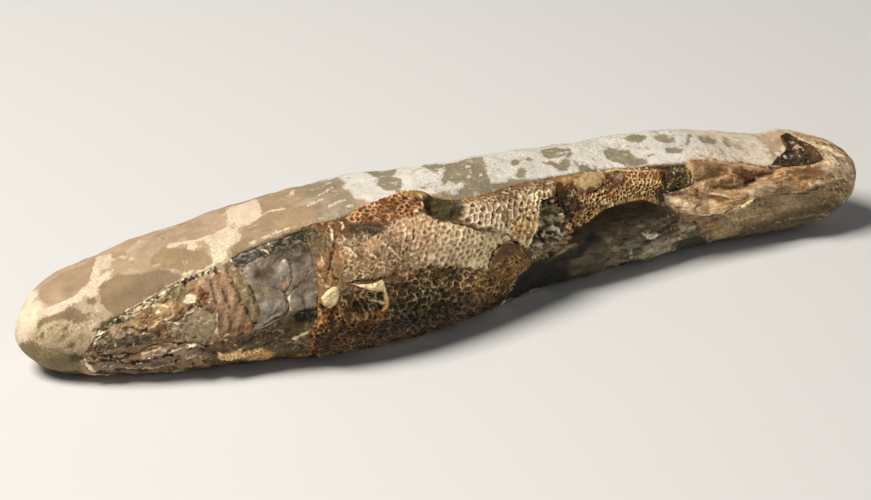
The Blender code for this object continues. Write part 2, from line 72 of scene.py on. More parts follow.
# Where the pieces of the fish meet each other and the stone, as (x, s) points
seams = {
    "crestHead": [(-81.6, 18), (-79.5, 15.8), (-78, 14), (-75, 13), (-70, 12.1), (-65, 11.2), (-60, 10.4),
        (-54, 10.1), (-50.5, 9.3)],
    "crestGill": [(-50.5, 9.3), (-47, 8.4), (-41, 7.6), (-35.5, 7)],
    "crestTrunk": [(-35.5, 7), (-31, 7), (-27, 7), (-24, 6.3), (-20, 5.3), (-16, 4.3), (-12, 3.8),
        (-9.5, 4.5), (-5.5, 6.4), (-3, 8), (1, 8.3), (5, 8), (10, 7.3), (16, 6.8), (21, 6.5)],
    "crestStock": [(21, 6.5), (30, 6.3), (37, 6.5), (41, 7.2), (47, 7.7), (53.3, 8)],
    "jawTop": [(-81.6, 18), (-78, 19.2), (-74, 21.2), (-71, 22.3), (-68, 21.7), (-65, 22.4), (-62, 23.8),
        (-59, 25.4), (-57, 26.4), (-54, 26.1), (-49, 26.2)],
    "gillFront": [(-50.5, 9.3), (-49.7, 13), (-48.7, 17), (-47.2, 20), (-46.9, 22.5), (-49, 26.2)],
    "gillBottom": [(-49, 26.2), (-46, 25.8), (-43, 25), (-40.5, 24.2), (-35.5, 24.6)],
    "gillRear": [(-35.5, 7), (-35.2, 15), (-35.5, 24.6)],
    "throatRear": [(-35.5, 24.6), (-36, 33), (-35.5, 42.3)],
    "bellyJaw": [(-81.6, 18), (-80.8, 21), (-79, 25.3), (-74, 29.3), (-69, 31.8), (-64, 33.8), (-58, 36.6),
        (-53, 37.3), (-48, 38.8), (-43, 40.4), (-35.5, 42.3)],
    "bellyTrunk": [(-35.5, 42.3), (-28, 42.8), (-20, 42), (-8, 39.5), (0, 37.5), (8, 35.8)],
    "trunkEnd": [(21, 6.5), (21.6, 9), (20.4, 10.9), (17.3, 11.2), (15.9, 13), (15.4, 15.2), (14, 17.6),
        (12.6, 20), (13.6, 22.6), (13.4, 25.6), (10.6, 27.2), (10.2, 30.5), (8, 35.8)],
    "stockFront": [(20.9, 6.5), (21.5, 9), (21.6, 11.2), (22.2, 14.2), (24, 16.8), (25.2, 18)],
    "stockEdge": [(25.2, 18), (28, 16.8), (31, 15.3), (34, 14.7), (37.5, 14.3), (41, 14.5), (44, 15.7),
        (46.2, 16.6)],
    "stockRear": [(53.3, 8), (54.1, 10.3), (53.3, 13), (50, 13.8), (46.6, 14.4), (46.2, 16.6)],
    "crustFront": [(20.4, 10.9), (17.3, 11.2), (15.9, 13), (15.4, 15.2), (14, 17.6), (12.6, 20)],
    "crustRear": [(21.9, 11.5), (22.2, 14.2), (24, 16.8), (25.2, 18)],
    "crustBottom": [(12.6, 20), (13.6, 22.6), (14.2, 24.6), (17, 25.2), (20, 24.6), (23, 22.3), (25.2, 18)],
}
ledgeLine = [(-93.0, 14.0), (-75.0, 30.0), (-50.0, 38.0), (-20.0, 41.0), (0.0, 37.0), (14.0, 30.0),
             (26.0, 23.0), (36.0, 19.5), (46.0, 17.4), (49.0, 18.9), (52.0, 19.7), (57.0, 20.0),
             (60.0, 19.5), (64.0, 17.6), (68.0, 15.6), (72.0, 14.5), (78.0, 14.3), (84.0, 12.5),
             (90.0, 9.0), (93.5, 7.0)]
creviceLine = [(59.0, 13.5), (62.0, 13.8), (65.0, 13.3), (67.5, 12.0), (70.0, 10.5), (73.5, 9.7)]
grooveLine = [(53.8, 12.2), (57.0, 11.5), (60.5, 11.0)]


# Numbers and lines

def ramp(value, low, high):
    # 0 below low, 1 above high, an S curve between
    t = np.clip((value - low) / (high - low), 0, 1)
    return t * t * (3 - 2 * t)


def bell(x, s, cx, cs, rx, rs):
    # A rounded hump, e to the minus square distance
    return np.exp(-((x - cx) / rx)**2 - ((s - cs) / rs)**2)


def through(at, xs, ys):
    # A cubic curve through given points, its slopes taken from their neighbours
    at = np.clip(at, xs[0], xs[-1])
    i = np.clip(np.searchsorted(xs, at, side="right") - 1, 0, len(xs) - 2)
    slope = np.gradient(ys, xs) if len(xs) > 2 else np.full(2, (ys[1] - ys[0]) / (xs[1] - xs[0]))
    span = np.diff(xs)[i]
    t = (at - xs[i]) / span
    rise = (3 * t**2 - 2 * t**3) * (ys[i + 1] - ys[i]) + ys[i]
    return rise + span * ((t**3 - 2 * t**2 + t) * slope[i] + (t**3 - t**2) * slope[i + 1])


def evenLine(points, count):
    # count places evenly spaced along a smooth curve through the points
    points = np.array(points, float)
    if len(points) < 2:
        return np.repeat(points, count, axis=0)
    chord = np.concatenate([[0], np.cumsum(np.hypot(*np.diff(points, axis=0).T))])
    fine = np.linspace(0, chord[-1], 400)
    x, s = through(fine, chord, points[:, 0]), through(fine, chord, points[:, 1])
    walked = np.concatenate([[0], np.cumsum(np.hypot(np.diff(x), np.diff(s)))])
    at = np.linspace(0, walked[-1], count)
    return np.stack([np.interp(at, walked, x), np.interp(at, walked, s)], axis=1)


def distanceTo(chain, x, s):
    # Shortest distance from each place to a chain of points
    best = np.full(np.shape(x), 1e9)
    for (ax, aS), (bx, bS) in zip(chain[:-1], chain[1:]):
        dx, ds = bx - ax, bS - aS
        t = np.clip(((x - ax) * dx + (s - aS) * ds) / (dx * dx + ds * ds + 1e-12), 0, 1)
        best = np.minimum(best, (x - ax - t * dx)**2 + (s - aS - t * ds)**2)
    return np.sqrt(best)


def depthInside(corners, x, s):
    # Distance from the edge of a closed outline, positive inside it
    ring = list(corners) + [corners[0]]
    hit = np.zeros(np.shape(x), bool)
    for (ax, aS), (bx, bS) in zip(ring[:-1], ring[1:]):
        if aS != bS:
            hit ^= ((aS > s) != (bS > s)) & (x < ax + (s - aS) * (bx - ax) / (bS - aS))
    return np.where(hit, 1, -1) * distanceTo(ring, x, s)


# Noise and nets

def scatter(i, j, k, seed):
    # A number from 0 to 1 that is always the same for the same cell
    n = (i * 73856093) ^ (j * 19349663) ^ (k * 83492791) ^ (seed * 39916801)
    n = ((n ^ (n >> 13)) * 1274126177) & 0x7fffffff
    n = ((n ^ (n >> 15)) * 668265263) & 0x7fffffff
    return (n & 0xffffff) / 0x1000000


def grain(places, size, seed):
    # Smooth noise from -1 to 1 whose lumps are size mm apart: corner values blended in each cell
    cells = [np.floor(p / size).astype(np.int64) for p in places]
    parts = [p / size - c for p, c in zip(places, cells)]
    parts = [t * t * (3 - 2 * t) for t in parts]
    total = 0.0
    for corner in itertools.product((0, 1), repeat=len(places)):
        weight = 1.0
        for t, far in zip(parts, corner):
            weight = weight * (t if far else 1 - t)
        at = [c + far for c, far in zip(cells, corner)] + [0] * (3 - len(cells))
        total = total + weight * scatter(*at, seed)
    return 2 * total - 1


def broken(places, size, octaves, seed):
    # Noise with finer noise added, each half the size and half the strength of the last
    return sum(grain(places, size / 2**k, seed + k) / 2**k for k in range(octaves))


def netCells(x, s, length, width, jitter, seed):
    # A staggered net: nearest and second nearest centre of each place. Gives the distance from the
    # rim between them, a number for each cell, and the offset from its centre
    row = np.floor(s / width).astype(np.int64)
    first, second = np.full(x.shape, 9.0), np.full(x.shape, 9.0)
    own, across, down = np.zeros(x.shape), np.zeros(x.shape), np.zeros(x.shape)
    for rowStep, columnStep in itertools.product((-1, 0, 1), repeat=2):
        r = row + rowStep
        shift = 0.5 * (r & 1)
        c = np.floor(x / length - shift).astype(np.int64) + columnStep
        cx = c + 0.5 + shift + jitter * (scatter(c, r, 1, seed) - 0.5)
        cs = r + 0.5 + jitter * (scatter(c, r, 2, seed) - 0.5)
        dx, ds = x / length - cx, s / width - cs
        d = np.hypot(dx, 0.87 * ds)
        nearer = d < first
        second = np.where(nearer, first, np.minimum(second, d))
        own = np.where(nearer, scatter(c, r, 3, seed), own)
        across, down = np.where(nearer, dx, across), np.where(nearer, ds, down)
        first = np.where(nearer, d, first)
    return second - first, own, across, down


# The stone's own shape

def endRounding(x):
    # 1 along the middle, falling to 0 at each tip as a quarter ellipse
    left = np.clip((stone["tips"][0] + stone["caps"][0] - x) / stone["caps"][0], 0, 1)
    right = np.clip((x - stone["tips"][1] + stone["caps"][1]) / stone["caps"][1], 0, 1)
    return np.sqrt(np.clip(1 - np.maximum(left, right)**2, 0, 1))


def section(x, angle):
    # A superellipse at each x: signed powers of the sine and cosine of the angle from its top
    halfHeight, halfDepth, centre, lift = (through(x, stations[:, 0], stations[:, k]) for k in (1, 2, 3, 4))
    power, cap = 2 / stone["squareness"], endRounding(x)
    across = np.sign(np.sin(angle)) * np.abs(np.sin(angle))**power
    up = np.sign(np.cos(angle)) * np.abs(np.cos(angle))**power
    return centre - halfDepth * cap * across, lift + halfHeight - stone["groundOff"] + halfHeight * cap * up


def walkRings(xs):
    # The section at each x in fine steps: y, z, and the distance walked from the top line
    half = 360
    y, z = section(xs[:, None], np.linspace(-np.pi, np.pi, 2 * half + 1)[None, :])
    steps = np.cumsum(np.hypot(np.diff(y), np.diff(z)), axis=1)
    walked = np.concatenate([np.zeros((len(xs), 1)), steps], axis=1)
    return y, z, walked - walked[:, half:half + 1]


def readRings(rings, i, s):
    # y and z at distance s on ring i. One reading serves all rings, laid end to end with a gap between
    y, z, walked = rings
    gap = 400.0
    at = np.clip(s, walked[i, 0], walked[i, -1]) + gap * i
    laid = (walked + gap * np.arange(len(walked))[:, None]).ravel()
    return np.interp(at, laid, y.ravel()), np.interp(at, laid, z.ravel())


tableStep = 0.5
tableX = np.arange(stone["tips"][0], stone["tips"][1] + tableStep, tableStep)
tableRings = walkRings(tableX)


def bareSurface(x, s):
    # Points of the plain section at (x, s), read between two rings of the table
    at = np.clip((x - tableX[0]) / tableStep, 0, len(tableX) - 1.001)
    i = at.astype(np.int64)
    (ya, za), (yb, zb) = readRings(tableRings, i, s), readRings(tableRings, i + 1, s)
    t = at - i
    return np.stack([x, ya + t * (yb - ya), za + t * (zb - za)], axis=-1)


def raised(x, s, height):
    # The plain section moved out along its normal by height
    step = 0.5
    along = bareSurface(x + step, s) - bareSurface(x - step, s)
    down = bareSurface(x, s + step) - bareSurface(x, s - step)
    normal = np.cross(down, along)
    normal /= np.linalg.norm(normal, axis=-1)[..., None] + 1e-12
    return bareSurface(x, s) + normal * height[..., None]


def readLine(points, x):
    xs, ys = np.array(points).T
    return np.interp(x, xs, ys)


crestLine = seams["crestHead"] + seams["crestGill"][1:] + seams["crestTrunk"][1:] + seams["crestStock"][1:]

print("stone's section ready")


# Finishes: the colour in sRGB and the roughness of each thing the surface is made of
finishes = {
    "whiteLime": ("#dcd5c8", 0.85), "creamLime": ("#dcc6aa", 0.8), "tipLime": ("#e2d0b2", 0.8),
    "sandLime": ("#b79b7c", 0.85), "sandPatch": ("#aa9070", 0.85), "tanLime": ("#a68d6d", 0.85),
    "greenLime": ("#998970", 0.85), "paleLime": ("#deceb6", 0.85), "taupe": ("#8c7455", 0.85),
    "lightTaupe": ("#a08562", 0.85), "greyTaupe": ("#94876c", 0.85), "duskLime": ("#a5987c", 0.85),
    "mossLime": ("#57502e", 0.8), "brownLime": ("#8a6c4c", 0.85), "noseLime": ("#c0ab86", 0.85),
    "noseUnder": ("#8b7853", 0.85), "matrixGreyAndShade": ("#5c5038", 0.9), "matrixPale": ("#aba08a", 0.9),
    "matrixGreen": ("#c9ccaa", 0.9), "matrixTan": ("#ab916b", 0.9), "matrixBrownAndShade": ("#5d4f34", 0.9),
    "matrixRose": ("#b58d66", 0.85), "darkGreenAndShade": ("#15140c", 0.8), "recessBrown": ("#4d3f28", 0.8),
    "mossOval": ("#36321f", 0.85), "rust": ("#5c321c", 0.8), "ledgeCream": ("#fbdcb0", 0.75),
    "ledgeTan": ("#d0aa7c", 0.8), "slabTan": ("#98754c", 0.8), "slabBrown": ("#7c5433", 0.8),
    "rind": ("#cd9e66", 0.8), "rindPale": ("#e0c8a2", 0.8), "creviceBrown": ("#43260f", 0.7),
    "bed": ("#2c2418", 0.8), "matrixDim": ("#b5a88e", 0.9), "noseSpot": ("#7f6c48", 0.85),
    "boneBrown": ("#8c6c4e", 0.55), "boneTan": ("#aa8a66", 0.55), "boneGrey": ("#4c4032", 0.5),
    "boneAsh": ("#a5917a", 0.5), "boneRose": ("#b29486", 0.5), "boneMauve": ("#907a70", 0.5),
    "boneCream": ("#ecd6b4", 0.5), "boneWhite": ("#fbeed8", 0.45), "boneOchre": ("#b8905c", 0.5),
    "amber": ("#80502a", 0.5), "boneOlive": ("#8d795b", 0.5), "crack": ("#22170d", 0.7),
    "softCrack": ("#4a3825", 0.65), "ribTan": ("#a3805e", 0.55), "gillGrey": ("#83786c", 0.45),
    "gillPale": ("#9e938a", 0.42), "gillBlack": ("#302b20", 0.6), "oliveDark": ("#35301a", 0.7),
    "oliveDeep": ("#221d10", 0.6), "oliveBrown": ("#513f26", 0.55), "gold": ("#cc9350", 0.5),
    "salmon": ("#cf9f82", 0.5), "lime": ("#aa9a78", 0.55), "gillBrown": ("#5f5040", 0.5),
    "girdleTan": ("#5a482f", 0.55), "girdleBrown": ("#5f4125", 0.55), "smear": ("#3f321f", 0.6),
    "flatRose": ("#b89878", 0.55), "fleshBrown": ("#6b4d34", 0.55), "ovalBrown": ("#644824", 0.5),
    "hollow": ("#3f3822", 0.8), "bandRose": ("#9c7c58", 0.6), "lensTan": ("#c8ab82", 0.5),
    "stockBrown": ("#46341f", 0.6), "oliveEnd": ("#4d3f28", 0.6), "greySpot": ("#a08560", 0.6),
    "nearBlack": ("#170f08", 0.65), "scaleCream": ("#f3dcb8", 0.5), "scaleGold": ("#dcae72", 0.5),
    "scaleRust": ("#5a3115", 0.6), "crystalWhite": ("#e9dccb", 0.3), "crystalTan": ("#b89b62", 0.35),
    "crystalBrown": ("#66522f", 0.35), "crystalGreen": ("#8a8464", 0.4), "paleBone": ("#fce8bb", 0.55),
    "paleBoneEdge": ("#c08a4c", 0.55), "glassDark": ("#2a2015", 0.3), "glassPale": ("#6f5438", 0.35),
}
# A scale's dark heart, partly painted shadow in its pit, its slope and its bright rim, and their roughness
scaleTones = {
    "dark": ("#171007", "#5a4127", "#e0bc92", 0.7), "green": ("#120f06", "#40351c", "#b8a078", 0.7),
    "low": ("#22120a", "#744c28", "#dfa870", 0.7), "gold": ("#2a1909", "#8a6230", "#ecc890", 0.7),
    "grey": ("#a2896c", "#dfc2a0", "#fcecd4", 0.7), "flesh": ("#8c6852", "#c6a082", "#f8e2ca", 0.7),
    "worn": ("#5e4634", "#8d6e55", "#f0d8ba", 0.7), "honey": ("#2f1608", "#7d4a26", "#e8b98c", 0.65),
    "cream": ("#65402a", "#c8a686", "#fff6e4", 0.65), "amber": ("#6c4018", "#dcae74", "#fff0d0", 0.65),
    "ivory": ("#6c4222", "#c69c70", "#fff4e0", 0.65), "throat": ("#6c4220", "#ca985a", "#ffecc4", 0.65),
    "stock": ("#361d0c", "#885930", "#f3d5a5", 0.65), "end": ("#18140b", "#463a24", "#a08c66", 0.7),
    "band": ("#482812", "#8a6240", "#dcb890", 0.65),
}


def linear(code):
    # An sRGB hex colour as linear light
    value = np.array([int(code[i:i + 2], 16) for i in (1, 3, 5)]) / 255
    return np.where(value <= 0.04045, value / 12.92, ((value + 0.055) / 1.055)**2.4)


# A mark is an area, a line or an oval on the stone, with a finish and a rise in mm

def area(finish, rise, *corners, soft=0.2):
    return {"kind": "area", "finish": finish, "rise": rise, "places": corners, "soft": soft}


def line(finish, rise, wide, *places, soft=0.12):
    return {"kind": "line", "finish": finish, "rise": rise, "wide": wide, "places": places, "soft": soft}


def oval(finish, rise, centre, size, soft=0.2):
    return {"kind": "oval", "finish": finish, "rise": rise, "places": (centre, size), "soft": soft}


def reachOf(mark, x, s):
    # How far inside the mark each place is, in mm, negative outside
    if mark["kind"] == "area":
        return depthInside(mark["places"], x, s)
    if mark["kind"] == "line":
        return mark["wide"] / 2 - distanceTo(mark["places"], x, s)
    (cx, cs), (rx, rs) = mark["places"]
    return (1 - np.hypot((x - cx) / rx, (s - cs) / rs)) * min(rx, rs)


def newCoat(x, s, finish, height, wander=0.3, fray=0.16):
    # A surface being dressed. Marks are read at places that wander a little, so no edge is ruled,
    # and their edges are frayed by finer noise
    places = (x, s)
    bentX = x + wander * (grain(places, 1.7, 901) + 0.5 * grain(places, 0.6, 903))
    bentS = s + wander * (grain(places, 1.7, 905) + 0.5 * grain(places, 0.6, 907))
    colour, roughness = finishes[finish]
    return {"x": x, "s": s, "bentX": bentX, "bentS": bentS, "height": height + np.zeros(x.shape),
            "fray": fray * (grain(places, 0.9, 909) + 0.8 * grain(places, 0.42, 910)),
            "colour": np.zeros(x.shape + (3,)) + linear(colour), "roughness": np.full(x.shape, roughness)}


def lay(coat, weight, finish=None, rise=0.0):
    # Where weight is 1 the coat takes the finish and rises by rise
    if finish:
        colour, roughness = finishes[finish]
        coat["colour"] += weight[:, None] * (linear(colour) - coat["colour"])
        coat["roughness"] += weight * (roughness - coat["roughness"])
    coat["height"] += weight * rise


def drawMarks(coat, marks):
    for mark in marks:
        reach = reachOf(mark, coat["bentX"], coat["bentS"]) + coat["fray"]
        lay(coat, ramp(reach, -mark["soft"], mark["soft"]), mark["finish"], mark["rise"])


def net(tones, scale, seed, *corners, **changes):
    # A field of scales: how long and deep they are, how wide and how worn their rims, how much they
    # wander and rise, how their rows slope, how many are filled in, and how strongly they are laid
    return {"on": area("", 0, *corners), "tones": tones, "scale": scale, "seed": seed, "rim": 0.2,
            "worn": 0.1, "jitter": 0.7, "lift": 0.26, "slope": 0.1, "filled": 0.0, "strength": 1.0, **changes}


def layNet(coat, field):
    # Each scale has a thin bright rim, a plain slope, and a sunken dark heart that leans to its head
    # side. Rims and hearts come and go from scale to scale, and the net is worn away in places
    x, s, seed = coat["x"], coat["s"], field["seed"]
    inside = reachOf(field["on"], coat["bentX"], coat["bentS"]) + 2 * coat["fray"]
    weight = ramp(inside, -0.5, 0.5) * field["strength"]
    bendX = x + 0.40 * grain((x, s), 2.6, seed) + 0.20 * grain((x, s), 0.8, seed + 1)
    bendS = s + 0.34 * grain((x, s), 2.3, seed + 2) + 0.15 * grain((x, s), 0.6, seed + 3) + field["slope"] * x
    apart, own, across, down = netCells(bendX, bendS, *field["scale"], field["jitter"], seed)
    kept = grain((x, s), 1.5, seed + 5) + 0.7 * grain((x, s), 0.6, seed + 6)
    wide = field["rim"] * (1 + 0.6 * grain((x, s), 1.0, seed + 4) + 0.9 * across)
    rim = (1 - ramp(apart, 0.15 * wide, wide)) * ramp(kept, field["worn"] - 0.8, field["worn"] + 0.2)
    deep = ramp((7.3 * own) % 1.0, field["filled"], field["filled"] + 0.6)
    heart = deep * ramp(apart - 0.5 * across - 0.3 * down + 0.28 * grain((x, s), 0.45, seed + 10), 0.3, 0.75)
    pit, slope, edge = (linear(code) for code in scaleTones[field["tones"]][:3])
    # painted shade: each scale is lighter on its tail side and darker on its head side, and its dark heart is
    # partly painted shadow in the pit
    shade = (0.74 + 0.5 * own + 0.25 * grain((x, s), 0.45, seed + 7) + 0.35 * across)[:, None]
    glow = (1 + 0.3 * grain((x, s), 0.5, seed + 8) + 0.25 * grain((x, s), 2.0, seed + 9))[:, None]
    colour = slope * shade
    colour += heart[:, None] * (pit * shade - colour)
    colour += rim[:, None] * (edge * glow - colour)
    coat["colour"] += weight[:, None] * (colour - coat["colour"])
    coat["roughness"] += weight * (scaleTones[field["tones"]][3] - coat["roughness"])
    coat["height"] += weight * field["lift"] * (rim - 0.5 * heart - 0.2 + 0.5 * across * (1 - rim))


def layThreads(coat, weight, finish, size, seed, rise=0.0, stretch=(1.0, 1.0), sharp=5, slant=0.0):
    # Wandering thin ridges: noise folded at zero and sharpened, drawn out along one direction
    x, s = coat["x"] / stretch[0], (coat["s"] - slant * coat["x"]) / stretch[1]
    bend = 0.4 * size * grain((x, s), 2.2 * size, seed + 1)
    fold = 1 - np.abs(grain((x + bend, s - bend), size, seed))
    lay(coat, weight * np.clip(fold, 0, 1)**sharp, finish, rise)


def roughen(coat, *layers):
    # Adds noise to the height: each layer is (lump size, height, seed)
    for size, height, seed in layers:
        coat["height"] += height * grain((coat["x"], coat["s"]), size, seed)


def mottle(coat, size, amount, seed):
    # Lightens and darkens the colour by noise
    shade = 1 + amount * broken((coat["x"], coat["s"]), size, 3, seed)
    coat["colour"] *= np.clip(shade, 0.25, 2)[:, None]


def darken(coat, amount):
    coat["colour"] *= (1 - amount)[:, None]


def lightPlaces(colours, x, s, *places):
    # Lighter and darker places, each a centre, a reach along x and s, and the gain there
    for cx, cs, wide, high, gain in places:
        light = (1 + gain * bell(x, s, cx, cs, wide, high))[:, None]
        for colour in colours:
            colour *= light


def layPatches(coat, weight, finish, size, seed, low, high, rise=0.0, places=None, octaves=3):
    # Patches of a finish, where noise of this size climbs from low to high
    clouds = broken(places or (coat["x"], coat["s"]), size, octaves, seed)
    lay(coat, weight * ramp(clouds, low, high), finish, rise)


def layPlates(coat, weight, scale, seed, lift, *palette):
    # Bone flakes: each cell takes a finish from the palette, tilts its own way, and has a darker rim
    x, s = coat["x"], coat["s"]
    bentX, bentS = x + 0.9 * grain((x, s), 2.3, seed), s + 0.7 * grain((x, s), 1.7, seed + 1)
    bentX, bentS = bentX + 0.3 * grain((x, s), 0.7, seed + 2), bentS + 0.3 * grain((x, s), 0.6, seed + 3)
    apart, own, across, down = netCells(bentX, bentS, *scale, 0.95, seed)
    share = 1 / len(palette)
    for k, finish in enumerate(palette):
        lay(coat, weight * 0.6 * (np.abs(own - (k + 0.5) * share) < share / 2), finish)
    coat["height"] += weight * lift * ((own - 0.5) + 0.7 * across * (own - 0.4) - 0.5 * down * (own - 0.6))
    rim = (1 - ramp(apart, 0.0, 0.16)) * ramp(grain((x, s), 1.4, seed + 4), -0.5, 0.5)
    lay(coat, weight * rim * 0.55, "softCrack", -0.5 * lift)


def layGlints(coat, weight, finish, size, seed, share=0.6):
    # Small chips of a finish, gathered in loose clusters; the pale ones are partly real pale chips and partly
    # painted glints
    cluster = ramp(grain((coat["x"], coat["s"]), 4 * size, seed + 1), -0.3, 0.6)
    chips = ramp(grain((coat["x"], coat["s"]), size, seed), share, share + 0.25)
    lay(coat, weight * cluster * chips, finish, 0.04)


# Meshes

def finishMesh(name, points, faces, attributes, mergeNear=0.0):
    # Points in mm to a smooth shaded mesh object that carries the attributes of its points
    mesh = bpy.data.meshes.new(name)
    mesh.from_pydata((points * metre).tolist(), [], faces)
    for key, values in attributes.items():
        if values.ndim == 2:
            rgba = np.concatenate([np.clip(values, 0, 1), np.ones((len(values), 1))], axis=1)
            mesh.attributes.new(key, "FLOAT_COLOR", "POINT").data.foreach_set("color", rgba.ravel())
        else:
            mesh.attributes.new(key, "FLOAT", "POINT").data.foreach_set("value", values)
    if mergeNear:
        work = bmesh.new()
        work.from_mesh(mesh)
        bmesh.ops.remove_doubles(work, verts=work.verts, dist=mergeNear * metre)
        work.to_mesh(mesh)
        work.free()
    mesh.polygons.foreach_set("use_smooth", np.ones(len(mesh.polygons), bool))
    mesh.update()
    piece = bpy.data.objects.new(name, mesh)
    bpy.context.scene.collection.objects.link(piece)
    return piece


def borderOf(grid):
    # The numbers round a grid's edge, in the same turning direction as its faces
    return np.concatenate([grid[0, :-1], grid[:-1, -1], grid[-1, :0:-1], grid[:0:-1, 0]])


def patchPiece(name, values, dress):
    # A piece over the space between a top line and a bottom line, and a front and a rear line where
    # it has them: each place blends the two pairs of lines (a Coons patch). Its top is dressed, its
    # walls go down and in, and a coarser floor closes it
    columns, rows, coarse = values["columns"], values["rows"], values["coarse"]
    columns, rows = columns // coarse * coarse + 1, rows // coarse * coarse + 1
    top, bottom = evenLine(values["top"], columns), evenLine(values["bottom"], columns)
    front = evenLine(values.get("front", [values["top"][0]]), rows)
    rear = evenLine(values.get("rear", [values["top"][-1]]), rows)
    u = np.linspace(0, 1, columns)[:, None, None]
    v = np.linspace(0, 1, rows)[None, :, None]
    flat = (1 - v) * top[:, None] + v * bottom[:, None] + (1 - u) * front[None] + u * rear[None]
    flat -= (1 - u) * ((1 - v) * top[0] + v * bottom[0]) + u * ((1 - v) * top[-1] + v * bottom[-1])
    x, s = flat[..., 0].ravel(), flat[..., 1].ravel()
    coat = dress(x, s)
    upper = raised(x, s, coat["height"])
    number = np.arange(columns * rows).reshape(columns, rows)
    border = borderOf(number)
    # Walls: half way down, then the floor's edge, both drawn in towards the middle of the piece
    depth = values["depth"]
    middle = raised(x[border], s[border], np.minimum(coat["height"][border] - 0.6, -0.5 * depth))
    step = (slice(None, None, coarse), slice(None, None, coarse))
    pull = values["inset"] / max(float(np.ptp(flat[..., 1])), 1.0)
    inner = flat + (flat.mean(axis=1, keepdims=True) - flat) * pull
    low = inner[step].reshape(-1, 2)
    lower = raised(low[:, 0], low[:, 1], np.full(len(low), -depth))
    lowNumber = np.arange(len(low)).reshape(inner[step].shape[:2]) + len(upper) + len(middle)
    lowBorder = borderOf(lowNumber)
    a, b, c, d = number[:-1, :-1], number[:-1, 1:], number[1:, 1:], number[1:, :-1]
    faces = np.stack([a, b, c, d], axis=-1).reshape(-1, 4).tolist()
    a, b, c, d = lowNumber[:-1, :-1], lowNumber[1:, :-1], lowNumber[1:, 1:], lowNumber[:-1, 1:]
    faces += np.stack([a, b, c, d], axis=-1).reshape(-1, 4).tolist()
    ring = np.arange(len(border)) + len(upper)
    faces += np.stack([np.roll(border, -1), border, ring, np.roll(ring, -1)], axis=-1).tolist()
    looped = np.append(ring, ring[0])
    for m in range(len(lowBorder)):
        wall = looped[m * coarse:m * coarse + coarse + 1][::-1].tolist()
        faces.append(wall + [int(lowBorder[m]), int(lowBorder[(m + 1) % len(lowBorder)])])
    # The walls and the floor keep the piece's own colours, in shade
    shade = 0.6
    under = np.tile(coat["colour"].mean(0) * shade, (len(lower), 1))
    colour = np.concatenate([coat["colour"], coat["colour"][border] * shade, under])
    roughness = np.concatenate([coat["roughness"], np.full(len(middle) + len(lower), 0.7)])
    points = np.concatenate([upper, middle, lower])
    return finishMesh(name, points, faces, {"pigment": colour, "polish": roughness}, mergeNear=0.0005)


def crestDepth(x, s):
    # Distance below the line where the fish meets the stone's top
    return s - readLine(crestLine, x)


# What the larger pieces of the fish share: steps of the floor, depth, and how far the floor draws in
fishPiece = {"coarse": 10, "depth": 4.4, "inset": 1.0}


# The head: skull roof and cheek, gill cover, and the lower jaw with the throat behind it

